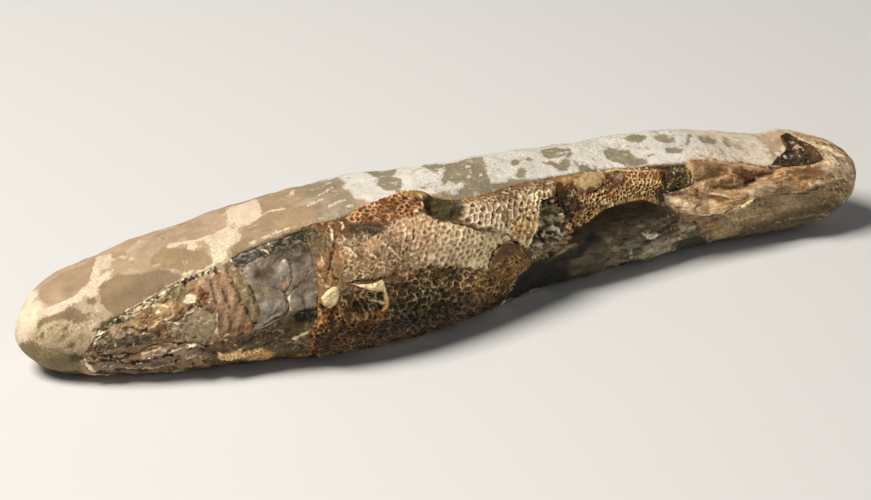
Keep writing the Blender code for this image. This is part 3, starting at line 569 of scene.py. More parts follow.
headMarks = [
    # cheek and snout: the gold plate, the grey ones, and the bright chips between them
    area("boneTan", 0.05, (-78, 14.4), (-72, 12.8), (-62, 11), (-60.5, 14.5), (-62, 17.6), (-69.5, 17.8),
         (-74, 16), soft=1.2),
    area("boneTan", 0.15, (-71.6, 12.9), (-66.9, 12.9), (-62.4, 15.2), (-64.6, 16.6), (-67.4, 17.6),
         (-70.6, 15.9), soft=0.4),
    area("boneBrown", -0.1, (-70, 14.6), (-67.4, 14.2), (-65.4, 15.6), (-68, 16.6), (-69.8, 15.8), soft=0.4),
    line("boneCream", 0.15, 0.35, (-71.6, 14.2), (-69.6, 13.3), (-66.6, 13.3), (-64.4, 14.4), soft=0.2),
    line("boneCream", 0.15, 0.35, (-68.4, 17.4), (-66, 16.8), (-63.4, 16.2), soft=0.2),
    area("boneAsh", 0.12, (-65.4, 18.4), (-62.6, 17.6), (-60.4, 16.8), (-57.4, 17.2), (-55.6, 20),
         (-55.8, 24.4), (-59, 24.8), (-62.5, 23.4), (-65.4, 21.4), soft=0.3),
    area("boneAsh", 0.15, (-61.4, 19.2), (-60.2, 17.6), (-57.4, 17.8), (-55.6, 20.5), (-56, 23.9),
         (-59.6, 23.4), soft=0.3),
    line("boneCream", 0.12, 0.3, (-61.2, 17.6), (-58.6, 16.9), (-56.8, 17.6), soft=0.2),
    area("boneGrey", 0.35, (-79.4, 16.4), (-76.7, 15.7), (-72.9, 16.1), (-69.4, 18), (-67.9, 20.2),
         (-68.9, 20.9), (-73.9, 19.2), (-78, 18)),
    line("boneAsh", 0.1, 0.4, (-78.8, 16.4), (-75.4, 16.2), (-72, 16.9), (-69.6, 18.5), soft=0.2),
    area("boneOlive", 0, (-65.6, 13.2), (-60.4, 10.8), (-58.8, 12.6), (-60.2, 14), (-63, 14.6), soft=0.4),
    area("boneTan", 0.05, (-60.2, 10.8), (-55.6, 10.8), (-56.2, 13), (-59.2, 13.4), soft=0.6),
    area("amber", -0.1, (-59.4, 12.8), (-55.4, 13.4), (-54.8, 17.2), (-58.4, 17), soft=0.5),
    line("amber", -0.05, 0.6, (-66.4, 18.4), (-63.6, 16.9), (-61.6, 16.1), soft=0.4),
    area("boneRose", 0.1, (-57.4, 13.2), (-56, 12.8), (-55.2, 15), (-55.6, 18), (-57, 17.4), (-56.2, 15.2),
         soft=0.35),
    oval("boneWhite", 0.2, (-59.9, 14.7), (1.3, 1), soft=0.25),
    oval("boneWhite", 0.12, (-71.8, 14.4), (0.7, 0.5), soft=0.3),
    oval("boneWhite", 0.12, (-66.6, 14.4), (0.5, 0.4)),
    line("softCrack", -0.2, 0.5, (-63.8, 17.7), (-61.8, 17.3), (-60.2, 16.3), (-59, 16.8), soft=0.3),
    line("boneWhite", 0.12, 0.3, (-65, 17.4), (-63.4, 18.2), (-61.2, 18.8), soft=0.2),
    line("softCrack", -0.2, 0.4, (-73, 15.7), (-70.4, 17), (-67.5, 18.4), (-66.2, 20.6), soft=0.3),
    line("boneTan", 0.1, 0.4, (-72, 15.3), (-69.9, 16.5), (-67.2, 17.6), soft=0.2),
    line("softCrack", -0.15, 0.3, (-65.2, 20.4), (-62, 21.4), (-59.5, 23.6), soft=0.3),
    line("boneWhite", 0.18, 0.5, (-55.4, 19.4), (-55, 21.3), (-55.6, 23.2), (-55.4, 24.8), soft=0.25),
    line("boneCream", 0.12, 0.5, (-80.4, 15.6), (-77.3, 14.9), (-73.6, 14.9), soft=0.3),
    line("mossLime", 0, 2, (-78.4, 14.6), (-75.6, 13.7), (-72.2, 13.6), soft=0.3),
    line("boneAsh", 0.1, 0.5, (-77.6, 15.2), (-75.4, 14.5), (-72.4, 14.3), soft=0.3),
    line("creamLime", 0.1, 0.7, (-71.8, 12.9), (-67.9, 12.2), (-63.4, 11.4), (-59.7, 10.7), (-54, 10.5),
         (-51, 9.9), soft=0.3),
    area("girdleTan", -0.15, (-66.8, 21.2), (-63, 22.6), (-59.6, 24.8), (-57, 25.8), (-58, 24.9), (-61, 23.6),
         (-64.4, 21.2), soft=0.3),
    # the ribbed band and the olive strip before the gill cover
    area("ribTan", 0, (-55.8, 10.9), (-51.4, 10.4), (-49.9, 18), (-48.9, 25), (-52, 26.2), (-55.4, 25.6),
         (-54.6, 19), soft=0.5),
    line("boneRose", 0.1, 0.8, (-54.8, 11.6), (-54.3, 15), (-53.9, 19), (-53.6, 24), soft=0.4),
    line("boneRose", 0.08, 0.5, (-52.9, 11.5), (-52.4, 15.4), (-51.9, 19.4), (-51.6, 24.4), soft=0.3),
    line("girdleBrown", -0.1, 0.3, (-53.8, 12), (-53.3, 16.4), (-52.8, 20.5), (-52.6, 24), soft=0.3),
    line("girdleBrown", -0.1, 0.3, (-55.6, 12.5), (-55.2, 17), (-54.8, 22.5), soft=0.3),
    line("amber", 0, 1.2, (-54.4, 24.6), (-51, 24.6), (-48.4, 24.4), soft=0.5),
    line("boneWhite", 0.1, 0.3, (-54, 24.9), (-53, 25.3), soft=0.2),
    area("boneOlive", 0, (-51.4, 10.6), (-49, 10.6), (-48.4, 14), (-47.9, 17.6), (-47.2, 20.6), (-45.9, 23.5),
         (-47.6, 24.6), (-48.8, 22.8), (-50.4, 18.2), (-51.2, 15.3), soft=0.25),
    line("softCrack", -0.25, 0.3, (-51.9, 10.8), (-51.4, 14.4), (-50.5, 18.4), (-48.9, 22.8), (-48, 24.4),
         soft=0.2),
    line("softCrack", -0.15, 0.3, (-49.6, 11.3), (-48.8, 14.4), (-48.2, 17.4), (-47.5, 20.4)),
    line("lime", 0.08, 0.4, (-50.9, 13.9), (-49.9, 16), (-48.9, 18.4), (-47.4, 21.8), soft=0.25),
    # gill cover: the rough olive-black top, the plate over its front corner, the cracks, and pale patches
    # that are partly painted sheen
    area("gillBrown", 0, (-46, 11.6), (-41.6, 11.4), (-37, 11), (-36, 14), (-39, 14.2), (-43, 13.2),
         (-46.6, 14), soft=1),
    area("oliveBrown", -0.05, (-43, 11), (-39.4, 9.6), (-33.4, 9.4), (-32.6, 12.4), (-33.9, 14.4),
         (-36.4, 13), (-39.8, 12.2), (-42.6, 12.2), soft=0.9),
    area("oliveDark", -0.2, (-44.6, 10.4), (-43.4, 8.9), (-41.9, 8.4), (-39.4, 7.4), (-36.9, 7), (-33.6, 7.1),
         (-32.2, 8.6), (-32.9, 10.1), (-34.9, 11.1), (-37.7, 10.6), (-39.9, 11), (-42.4, 11.2), (-44.4, 11.4),
         soft=0.35),
    area("gillPale", 0.1, (-41, 21.8), (-35.7, 20.6), (-35.7, 23.8), (-39, 23.9), (-41, 23.2), soft=0.6),
    area("gillPale", 0, (-41.4, 13.4), (-40.6, 15.4), (-41.9, 16.4), (-43.4, 14.8), (-43.2, 13.6), soft=0.7),
    area("boneMauve", 0.05, (-39.4, 15), (-36.4, 14.6), (-36.2, 18), (-38.8, 19.4), soft=0.9),
    area("gillPale", 0, (-47, 20), (-44, 19), (-42.6, 20.4), (-43, 22.6), (-45.6, 23), soft=0.9),
    line("softCrack", -0.2, 0.3, (-44.9, 17.2), (-43.6, 18.3), (-42.2, 19.3), soft=0.25),
    line("softCrack", -0.25, 0.35, (-41.9, 19.6), (-41.6, 21.3), (-41.4, 23.7), (-42.6, 24.3), (-44.7, 25),
         (-46.8, 25.3), soft=0.25),
    line("softCrack", -0.22, 0.35, (-40.2, 12.8), (-39.9, 14.5), (-39.9, 16.1), (-39.7, 17.4), (-40.9, 19.2),
         (-41.9, 19.6), soft=0.25),
    line("softCrack", -0.12, 0.25, (-36.6, 16.6), (-38.6, 18.8), (-40.4, 19.6)),
    line("softCrack", -0.15, 0.3, (-48.2, 24.5), (-46.5, 23.6), (-45.1, 23.8), (-43.6, 22.9), soft=0.2),
    line("gillPale", 0.1, 0.6, (-47.6, 24.9), (-45.2, 24.5), (-43, 23.6), soft=0.3),
    oval("boneOlive", 0, (-46.6, 15.9), (0.8, 0.9), soft=0.3),
    oval("boneOlive", 0, (-45.7, 17.6), (0.7, 0.6), soft=0.3),
    area("salmon", 0.1, (-42.1, 18.6), (-42.1, 18), (-40.9, 16.8), (-40.3, 16.4), (-40.6, 18.5),
         (-41.9, 19.2), soft=0.12),
    oval("boneWhite", 0.1, (-40.8, 13.1), (0.35, 0.35)),
    # a bright line along the trunk's raised front edge: partly pale bone, partly painted highlight on its lit
    # face
    line("boneOchre", 0.1, 0.35, (-35.4, 19), (-35.6, 22), (-35.7, 24.4), soft=0.2),
    line("boneCream", 0.1, 0.3, (-44.2, 9.4), (-43.4, 10), (-43.4, 10.9)),
    line("gillPale", 0.1, 0.5, (-42.4, 20), (-42.2, 22), (-42.2, 23.4), (-44, 24.1), soft=0.3),
    line("boneCream", 0.08, 0.22, (-41.3, 20.4), (-41, 23.2), soft=0.15),
    line("gillPale", 0.1, 0.5, (-40.6, 13.6), (-40.5, 15.6), soft=0.3),
    area("gillPale", 0.1, (-37.8, 22.6), (-35.8, 21), (-35.8, 24), (-37.4, 24), soft=0.4),
    line("boneAsh", 0.12, 0.4, (-40.4, 23.2), (-38.2, 22.4), (-35.8, 21.6), soft=0.25),
    line("boneAsh", 0.12, 0.35, (-40.8, 17.2), (-40.6, 15.4), (-41.2, 13.6), soft=0.25),
    area("gillBrown", 0, (-47.2, 12.4), (-43, 12), (-42.4, 14.6), (-44.8, 16.6), (-47, 14.8), soft=1),
    line("boneAsh", 0.1, 0.35, (-46.4, 23.9), (-44.2, 22.8), (-42.8, 21.2), soft=0.25),
    line("gillBrown", -0.1, 0.4, (-39.2, 20.4), (-38.2, 22.4), (-38.4, 24.2), soft=0.35),
    line("gillBrown", -0.1, 0.5, (-47.6, 12), (-46.4, 14.4), (-45.4, 15.4), soft=0.4),
    area("boneMauve", 0.05, (-44.4, 18.8), (-42.6, 18.4), (-42.4, 19.8), (-44.2, 20.4), soft=0.5),
    line("boneOlive", 0.1, 0.3, (-40.4, 9.7), (-38.6, 10.2), (-36.6, 9.8), soft=0.2),
    area("gillBlack", 0.4, (-50.4, 9.4), (-48.9, 8.6), (-47.4, 8.2), (-45.9, 8.3), (-44.4, 9.6),
         (-44.9, 10.4), (-46.9, 11.1), (-48.9, 11.6), (-50.4, 11.2), soft=0.12),
    line("gillPale", 0, 0.3, (-49.6, 9.6), (-48.2, 9.1), (-46.2, 9.2), soft=0.3),
]
jawMarks = [
    # the jaw's long bones, and the dark cracks between them
    area("boneRose", 0.3, (-75.7, 19.4), (-73.4, 19.2), (-69.9, 20.6), (-71, 21.8), (-73.9, 21.8),
         (-75.6, 20.8)),
    area("boneRose", 0.3, (-70.6, 23.2), (-67.9, 22.4), (-64.9, 23.7), (-66.2, 25), (-69.6, 24.6)),
    area("boneRose", 0.3, (-64.6, 25.4), (-63.1, 23.9), (-60.9, 25.2), (-58.4, 26.9), (-57.4, 28.6),
         (-59.9, 28.8), (-62.7, 27.6)),
    area("boneTan", 0.25, (-62.9, 28.6), (-60.4, 26.9), (-57.4, 29.1), (-58.7, 32.2), (-62.4, 31.8),
         soft=0.25),
    area("boneMauve", 0.2, (-71.4, 25.8), (-66, 26), (-63.8, 27.6), (-65.4, 29), (-69.4, 28.4), soft=0.3),
    area("softCrack", -0.1, (-73.4, 26), (-71, 26.2), (-69.6, 27.4), (-71.4, 28.4), (-73.8, 27.6), soft=0.6),
    area("softCrack", -0.1, (-80.2, 20.6), (-76, 24.6), (-72, 26.4), (-66.6, 29.6), (-71, 29.8), (-77, 27.6),
         (-80, 24), soft=0.6),
    area("boneMauve", 0.15, (-80, 21.4), (-76.4, 21.6), (-73.6, 23.4), (-75.6, 24.6), (-79, 23.4), soft=0.3),
    line("boneWhite", 0.25, 0.5, (-64.9, 25.6), (-63.4, 24.5), (-61.4, 24.4), (-59.9, 25.4), soft=0.15),
    line("boneCream", 0.15, 0.4, (-69.8, 23.1), (-67.4, 22.8), (-65.6, 23.7), soft=0.2),
    line("boneCream", 0.15, 0.35, (-61.6, 27.6), (-60, 27.3), (-58.2, 28.8), soft=0.2),
    line("boneCream", 0.2, 0.4, (-73, 26), (-69.5, 27.3), (-66, 28.4), (-63.6, 29.4), soft=0.25),
    line("boneTan", 0.2, 0.6, (-68.5, 29.4), (-64.8, 30.8), (-60.2, 32.4), (-57, 33.6), soft=0.3),
    line("boneCream", 0.2, 0.4, (-79.4, 26), (-75.5, 28.4), (-71.4, 30.4), (-67, 32.2), (-62, 34), soft=0.25),
    line("boneTan", 0.15, 0.4, (-76.8, 26.2), (-73, 28), (-70, 29.2), soft=0.25),
    line("boneCream", 0.12, 0.35, (-77.6, 19.2), (-75.4, 19), (-72, 19.6), soft=0.2),
    line("crack", -0.4, 0.45, (-78, 18.8), (-75.6, 21.4), (-72.9, 22.6), (-70.9, 22.1), (-69.4, 21.2),
         (-67.9, 21.4), (-65, 22.4), (-63, 23.4), (-61, 23.6), (-59, 25.2), (-57, 26.2), (-54.6, 26),
         soft=0.18),
    line("crack", -0.35, 0.4, (-79.6, 21), (-77, 21.2), (-74.6, 22.6), (-73, 24.4), (-71, 25.2), soft=0.2),
    line("crack", -0.35, 0.4, (-71.5, 25), (-69, 25.3), (-66, 25.6), (-64, 26.4), (-62.4, 27), (-63.6, 29.4),
         soft=0.18),
    line("crack", -0.3, 0.35, (-66.4, 29.6), (-63.8, 30), (-62.6, 32.4), (-59.4, 33), (-57.6, 31.8),
         soft=0.2),
    line("softCrack", -0.25, 0.3, (-62, 26), (-60.4, 25.9), (-58.4, 26.9), (-56.4, 28.6), soft=0.2),
    line("softCrack", -0.3, 0.4, (-77, 27), (-72.5, 29.4), (-69, 30.8), (-65.6, 32.2), soft=0.25),
    line("softCrack", -0.2, 0.3, (-62, 28.7), (-60.4, 29.6), (-59.6, 31.6), soft=0.2),
    line("boneWhite", 0.3, 0.55, (-81.4, 17.4), (-81, 19.5), (-79.9, 22.4), (-78.8, 24.4), soft=0.2),
    line("boneTan", 0.15, 0.8, (-80.2, 18.2), (-79, 20.4), (-78.2, 22), soft=0.3),
    line("softCrack", -0.2, 0.5, (-80.4, 17.6), (-79.4, 19.4), (-78, 20.4), soft=0.25),
    # behind the jaw: olive and brown throat with a golden ridge
    area("oliveBrown", 0, (-57, 26.8), (-49, 25.8), (-43, 25), (-41, 24.8), (-35.4, 25.4), (-35.2, 44),
         (-56, 38), soft=1),
    area("fleshBrown", 0.05, (-56.4, 25.8), (-51.6, 25.8), (-50, 27), (-53.6, 28.4), (-56.4, 27.4), soft=0.6),
    line("boneWhite", 0.1, 0.35, (-55.2, 25.6), (-53.8, 26.1), (-52.2, 26), soft=0.2),
    area("oliveDeep", -0.25, (-39.9, 25.6), (-37.9, 24.3), (-35.2, 24.3), (-35.1, 27.2), (-36.6, 28.4),
         (-39.7, 27.2), soft=0.3),
    line("oliveDark", -0.25, 1.2, (-51.5, 28.2), (-46.5, 27.6), (-42.2, 28.4), soft=0.6),
    line("oliveDark", -0.2, 0.9, (-46, 31), (-42, 30), (-38.8, 30.4), soft=0.5),
    line("boneOchre", 0.3, 1.5, (-54.6, 29.8), (-52.6, 30.9), (-50.4, 31.2), (-46.9, 32.2), (-44.5, 34),
         soft=0.5),
    line("boneCream", 0.25, 0.6, (-54.8, 29), (-53.6, 30.6), (-52.6, 31.4), soft=0.3),
    line("boneCream", 0.1, 0.3, (-52.4, 30.4), (-49.6, 30.9), (-46.4, 31.8), soft=0.2),
    line("amber", -0.1, 0.4, (-51, 32), (-48.6, 32.6), (-46.4, 33.6), soft=0.25),
    line("boneCream", 0.15, 0.5, (-40.6, 31.1), (-39, 30.7), (-37.3, 30.2), soft=0.25),
    line("boneCream", 0.2, 0.4, (-36, 28.9), (-35.6, 27.6), (-35.4, 26.2), soft=0.2),
    line("oliveDark", -0.25, 0.7, (-42, 33), (-39.5, 33.6), (-37, 35.6), soft=0.5),
]


def skullRelief(x, s):
    below = crestDepth(x, s)
    height = 0.4 * ramp(x, -83, -76) * np.exp(-(below / 1.3)**2) - 0.1
    height += 0.6 * bell(x, s, -74, 17.6, 5.5, 1.8) + 0.5 * bell(x, s, -60, 20.5, 4.0, 3.5)
    height += 0.4 * bell(x, s, -66, 15.5, 5.0, 2.0)
    return height + 0.14 * ramp(x, -56.5, -55) * np.sin(2 * np.pi * (x + 0.32 * s) / 2.6)


def gillRelief(x, s):
    return -0.6 + 0.5 * ramp(crestDepth(x, s), 0.0, 4.5) + 0.35 * bell(x, s, -43.5, 19, 6.0, 6.0)


def jawRidges(x, s):
    # 1 on the jaw's long bones, -1 in the grooves between them
    return np.sin(2 * np.pi * (s - 0.45 * (x + 80)) / 3.1)


def jawRelief(x, s):
    height = 0.22 * (1 - ramp(x, -58, -50)) * jawRidges(x, s) - 1.3 * bell(x, s, -38.5, 26.5, 3.0, 2.2)
    return height + 0.7 * np.exp(-(distanceTo([(-54.5, 29.5), (-51, 32), (-45, 35.5)], x, s) / 1.4)**2)


skull = {**fishPiece, "columns": 220, "rows": 100,
         "top": seams["crestHead"], "bottom": seams["jawTop"], "rear": seams["gillFront"]}


def dressSkull(x, s):
    coat = newCoat(x, s, "boneBrown", skullRelief(x, s), 0.35, 0.24)
    free = 1 - 0.9 * ramp(x, -56.5, -55.5)
    layPlates(coat, free, (3.4, 2.1), 21, 0.4, "boneTan", "boneBrown", "boneAsh", "boneTan", "boneBrown")
    snout = bell(x, s, -74, 18, 5, 2.2)
    layPlates(coat, free * (0.6 - 0.5 * snout), (1.7, 1.0), 26, 0.2, "boneTan", "boneRose", "boneBrown",
              "boneOlive")
    drawMarks(coat, headMarks)
    rib = np.sin(2 * np.pi * (x + 0.26 * s + 0.25 * grain((x, s), 2.0, 42)) / 0.95)
    banded = (1 - free) * (1 - ramp(x - 0.22 * (s - 11), -51.8, -51.2))
    lay(coat, 0.3 * banded * ramp(rib, -0.6, 1), "boneRose", 0.05)
    layThreads(coat, (0.4 - 0.3 * snout) * free, "boneCream", 1.1, 36, 0.08, (1.4, 1.0), 11)
    layThreads(coat, 0.35 * free, "softCrack", 1.7, 38, -0.15, (1.5, 1.0), 11)
    roughen(coat, (1.3, 0.12, 31), (0.6, 0.12, 32), (0.3, 0.06, 33))
    mottle(coat, 1.2, 0.2 * free + 0.08, 34)
    mottle(coat, 0.5, 0.14 * free + 0.06, 43)
    layGlints(coat, free, "boneWhite", 0.5, 35, 0.68)
    brink = ramp(1.7 - crestDepth(x, s) + 0.4 * grain((x, s), 0.8, 58), 0, 0.7)
    lay(coat, 0.7 * brink * ramp(x, -74.5, -71.5), "creamLime", 0.12)
    layGlints(coat, brink, "crack", 0.55, 37, -0.1)
    lay(coat, 0.3 * brink, "softCrack")
    layGlints(coat, brink, "boneWhite", 0.5, 56, 0.1)
    lay(coat, 0.6 * ramp(grain((x, s), 0.55, 59), 0.45, 0.7) * brink, "boneGrey", -0.1)
    return coat


gill = {**fishPiece, "columns": 110, "rows": 110, "top": seams["crestGill"], "bottom": seams["gillBottom"],
        "front": seams["gillFront"], "rear": seams["gillRear"]}


def dressGill(x, s):
    coat = newCoat(x, s, "gillGrey", gillRelief(x, s), 0.35, 0.22)
    # pale patches, partly the cover's own grey and partly painted sheen
    layPatches(coat, 0.7, "gillPale", 2.6, 41, -0.1, 0.8)
    layPatches(coat, 0.5, "boneMauve", 2.8, 44, 0.1, 0.9)
    layPatches(coat, 0.6, "gillBrown", 3.1, 52, 0.2, 0.9, -0.05)
    drawMarks(coat, headMarks)
    upper = ramp(12.0 - s, 0, 2.0) * ramp(x, -45.5, -44.0)
    roughen(coat, (2.2, 0.2, 45), (1.0, 0.1, 46), (0.4, 0.04, 49))
    coat["height"] += upper * (0.18 * grain((x, s), 0.9, 47) + 0.12 * grain((x, s), 0.45, 48))
    layThreads(coat, 0.35, "gillBrown", 1.9, 53, -0.06, (1.0, 1.4), 9)
    # pale threads and chips, partly painted sheen
    layThreads(coat, 0.35, "gillPale", 1.6, 55, 0.05, (1.0, 1.5), 9)
    layThreads(coat, 0.5, "softCrack", 2.2, 108, -0.12, (1.2, 1.0), 26)
    layGlints(coat, 0.6, "gillPale", 0.6, 109, 0.4)
    mottle(coat, 1.4, 0.26, 50)
    rear = ramp(x, -42, -38) * (1 - ramp(s, 18, 20.5))
    darken(coat, 0.24 * rear + 0.2 * ramp(11.5 - s, 0, 1.5))
    mottle(coat, 0.5, 0.14, 54)
    darken(coat, 0.35 * bell(x, s, -41, 10.2, 4, 1.5))
    layGlints(coat, 0.9 * upper, "boneOlive", 0.6, 57, 0.35)
    layGlints(coat, 0.9 * upper, "boneCream", 0.5, 60, 0.5)
    return coat


jaw = {**fishPiece, "columns": 280, "rows": 100, "top": seams["jawTop"] + seams["gillBottom"][1:],
       "bottom": seams["bellyJaw"], "rear": seams["throatRear"]}
throatNets = [
    # a fringe of fine golden scales, and the trunk's first scales reaching over the rear corner
    net("throat", (0.75, 0.6), 175, (-55.4, 29), (-52.4, 30), (-46.6, 31.4), (-43.8, 34.2), (-45.6, 35),
        (-50.6, 32.4), (-54.6, 31.4), rim=0.25, jitter=0.9, lift=0.15, worn=-0.1, filled=0.3, strength=0.85),
    net("low", (1.2, 1), 113, (-36.4, 28.8), (-35.2, 26.6), (-34, 30), (-34, 45), (-41, 43), (-39, 36.2),
        (-37.9, 33.6), (-37.6, 31.2), rim=0.24, lift=0.3, worn=0, slope=-0.3, filled=0.12),
]


def dressJaw(x, s):
    coat = newCoat(x, s, "boneBrown", jawRelief(x, s), 0.4, 0.24)
    front = 1 - ramp(x, -58, -54)
    ridge = ramp(jawRidges(x, s), -0.5, 0.6)
    lay(coat, 0.6 * front * ridge, "boneRose")
    lay(coat, 0.5 * front * (1 - ridge), "softCrack")
    layPlates(coat, 0.7 * front, (4.2, 1.3), 61, 0.35, "boneRose", "boneTan", "boneMauve", "boneBrown",
              "softCrack")
    layThreads(coat, 0.4 * front, "boneCream", 1.2, 67, 0.08, (2.6, 1.0), 14, 0.4)
    layThreads(coat, 0.6 * front, "softCrack", 1.3, 70, -0.18, (2.8, 1.0), 10, 0.4)
    drawMarks(coat, jawMarks)
    roughen(coat, (1.2, 0.12, 63), (0.55, 0.10, 64), (0.3, 0.05, 65))
    mottle(coat, 1.3, 0.22, 66)
    mottle(coat, 0.5, 0.12, 69)
    layGlints(coat, front, "boneWhite", 0.45, 72, 0.62)
    layGlints(coat, 0.8 * front, "crack", 0.6, 73, 0.6)
    for field in throatNets:
        layNet(coat, field)
    # painted shade: the jaw's lower part darkens towards the underside
    darken(coat, 0.36 * front * ramp(s, 24, 28))
    throat = 1 - front
    clear = 1 - ramp(6 - distanceTo([(-54, 30), (-46, 33)], x, s), 3, 4)
    layPatches(coat, 0.8 * throat * clear, "oliveDark", 1.6, 68, 0.2, 0.9, -0.15)
    layThreads(coat, 0.4 * throat, "boneOlive", 0.9, 74, 0.08, (1.7, 1.0), 9)
    layGlints(coat, throat, "boneOlive", 0.6, 75, 0.4)
    layGlints(coat, 0.8 * throat, "boneCream", 0.45, 76, 0.7)
    # painted shade: the throat darkens towards the underside
    darken(coat, 0.4 * throat * ramp(s, 33, 37))
    return coat


# The trunk, with its scales, the shoulder and the hollows

trunk = {**fishPiece, "columns": 300, "rows": 180, "inset": 1.2, "top": seams["crestTrunk"],
         "bottom": seams["bellyTrunk"], "front": seams["gillRear"] + seams["throatRear"][1:],
         "rear": seams["trunkEnd"]}
trunkNets = [
    net("dark", (1.9, 1.45), 101, (-37, 23.5), (-20, 22.4), (-21, 19.6), (-8, 20.2), (-2, 21.6), (3, 25),
        (14, 26), (14, 44), (-37, 44), jitter=0.5, lift=0.3, worn=0.05),
    net("green", (2, 1.55), 107, (-18, 25.6), (-12, 25.2), (-6, 27.5), (-4, 33), (-12, 36), (-20, 33),
        (-20, 28), rim=0.16, jitter=0.6, worn=0.15),
    net("low", (1.2, 1), 113, (-36, 25.6), (-30, 24.6), (-24, 27.5), (-21, 30), (-22, 34), (-28, 37),
        (-36, 38), rim=0.24, lift=0.3, worn=0.2, slope=-0.3, filled=0.12),
    net("gold", (1.3, 1.25), 119, (-1, 25), (3, 24), (9.5, 25.3), (10.6, 30.8), (4, 33), (-1, 32), rim=0.26,
        worn=0, slope=0),
    net("grey", (1.4, 1.08), 131, (-16, 12.5), (-12, 10.2), (-9, 11.2), (-5, 12.4), (0, 14.6), (6, 16.2),
        (9.8, 19.4), (7, 18.9), (4.6, 20), (3.2, 22.4), (2.6, 24.6), (-2, 22.6), (-8, 21), (-14, 20.8),
        (-16, 19), rim=0.24, jitter=0.38, lift=0.14, worn=-0.3, slope=0.12),
    net("flesh", (1.3, 1), 133, (-22, 13), (-16, 10.4), (-10.6, 9.6), (-7.4, 11.6), (-8, 14), (-10.6, 17),
        (-12, 20), (-16, 21.4), (-21, 21), rim=0.24, lift=0.18, worn=0, slope=0.2, strength=0.9),
    net("worn", (1.15, 0.9), 135, (-30, 12.4), (-24, 11.6), (-18, 12.6), (-15, 15), (-15, 20.4), (-20, 21.6),
        (-30, 21), jitter=0.85, lift=0.16, slope=0.35, filled=0.1, strength=0.9),
    net("honey", (1.3, 1), 137, (-27.5, 7), (-24, 6), (-16, 3.6), (-10, 3.2), (-9.6, 8.6), (-12, 10.2),
        (-18, 10.6), (-24, 10), rim=0.26, jitter=0.8, lift=0.32, worn=0.15, slope=-0.25),
    net("cream", (1.5, 1.35), 149, (-3.6, 9.4), (6, 9.4), (14, 9), (20.8, 8.8), (17, 12), (16, 14),
        (14.4, 17.4), (12.4, 20.6), (9.8, 19), (8, 17.6), (6, 16), (0, 14.4), (-3, 12.4), rim=0.28,
        jitter=0.6, lift=0.2, worn=-0.35),
    net("band", (0.95, 0.7), 153, (-5, 6.8), (-2, 7.4), (4, 7.4), (10, 6.6), (21, 5.9), (21.6, 8.4),
        (16, 8.9), (8, 9.4), (-1, 9.8), jitter=0.8, lift=0.14, slope=-0.2, filled=0.12, strength=0.9),
    net("worn", (1.15, 0.85), 155, (2, 9), (8, 8), (14, 7.3), (21, 7), (21.6, 9.4), (16, 10), (8, 10.4),
        (2, 10.6), lift=0.16, slope=-0.1),
    net("amber", (1.4, 1.25), 151, (8.6, 14.4), (15.6, 13.4), (14.4, 17.4), (12.4, 20.6), (9.8, 19),
        (8.2, 17), rim=0.28, jitter=0.8, lift=0.24, worn=-0.1),
    net("ivory", (1.3, 1.1), 157, (11.5, 9.6), (20.8, 9), (17, 11.6), (15.6, 14), (12, 13.8), rim=0.28,
        lift=0.2, worn=-0.35, slope=0),
]
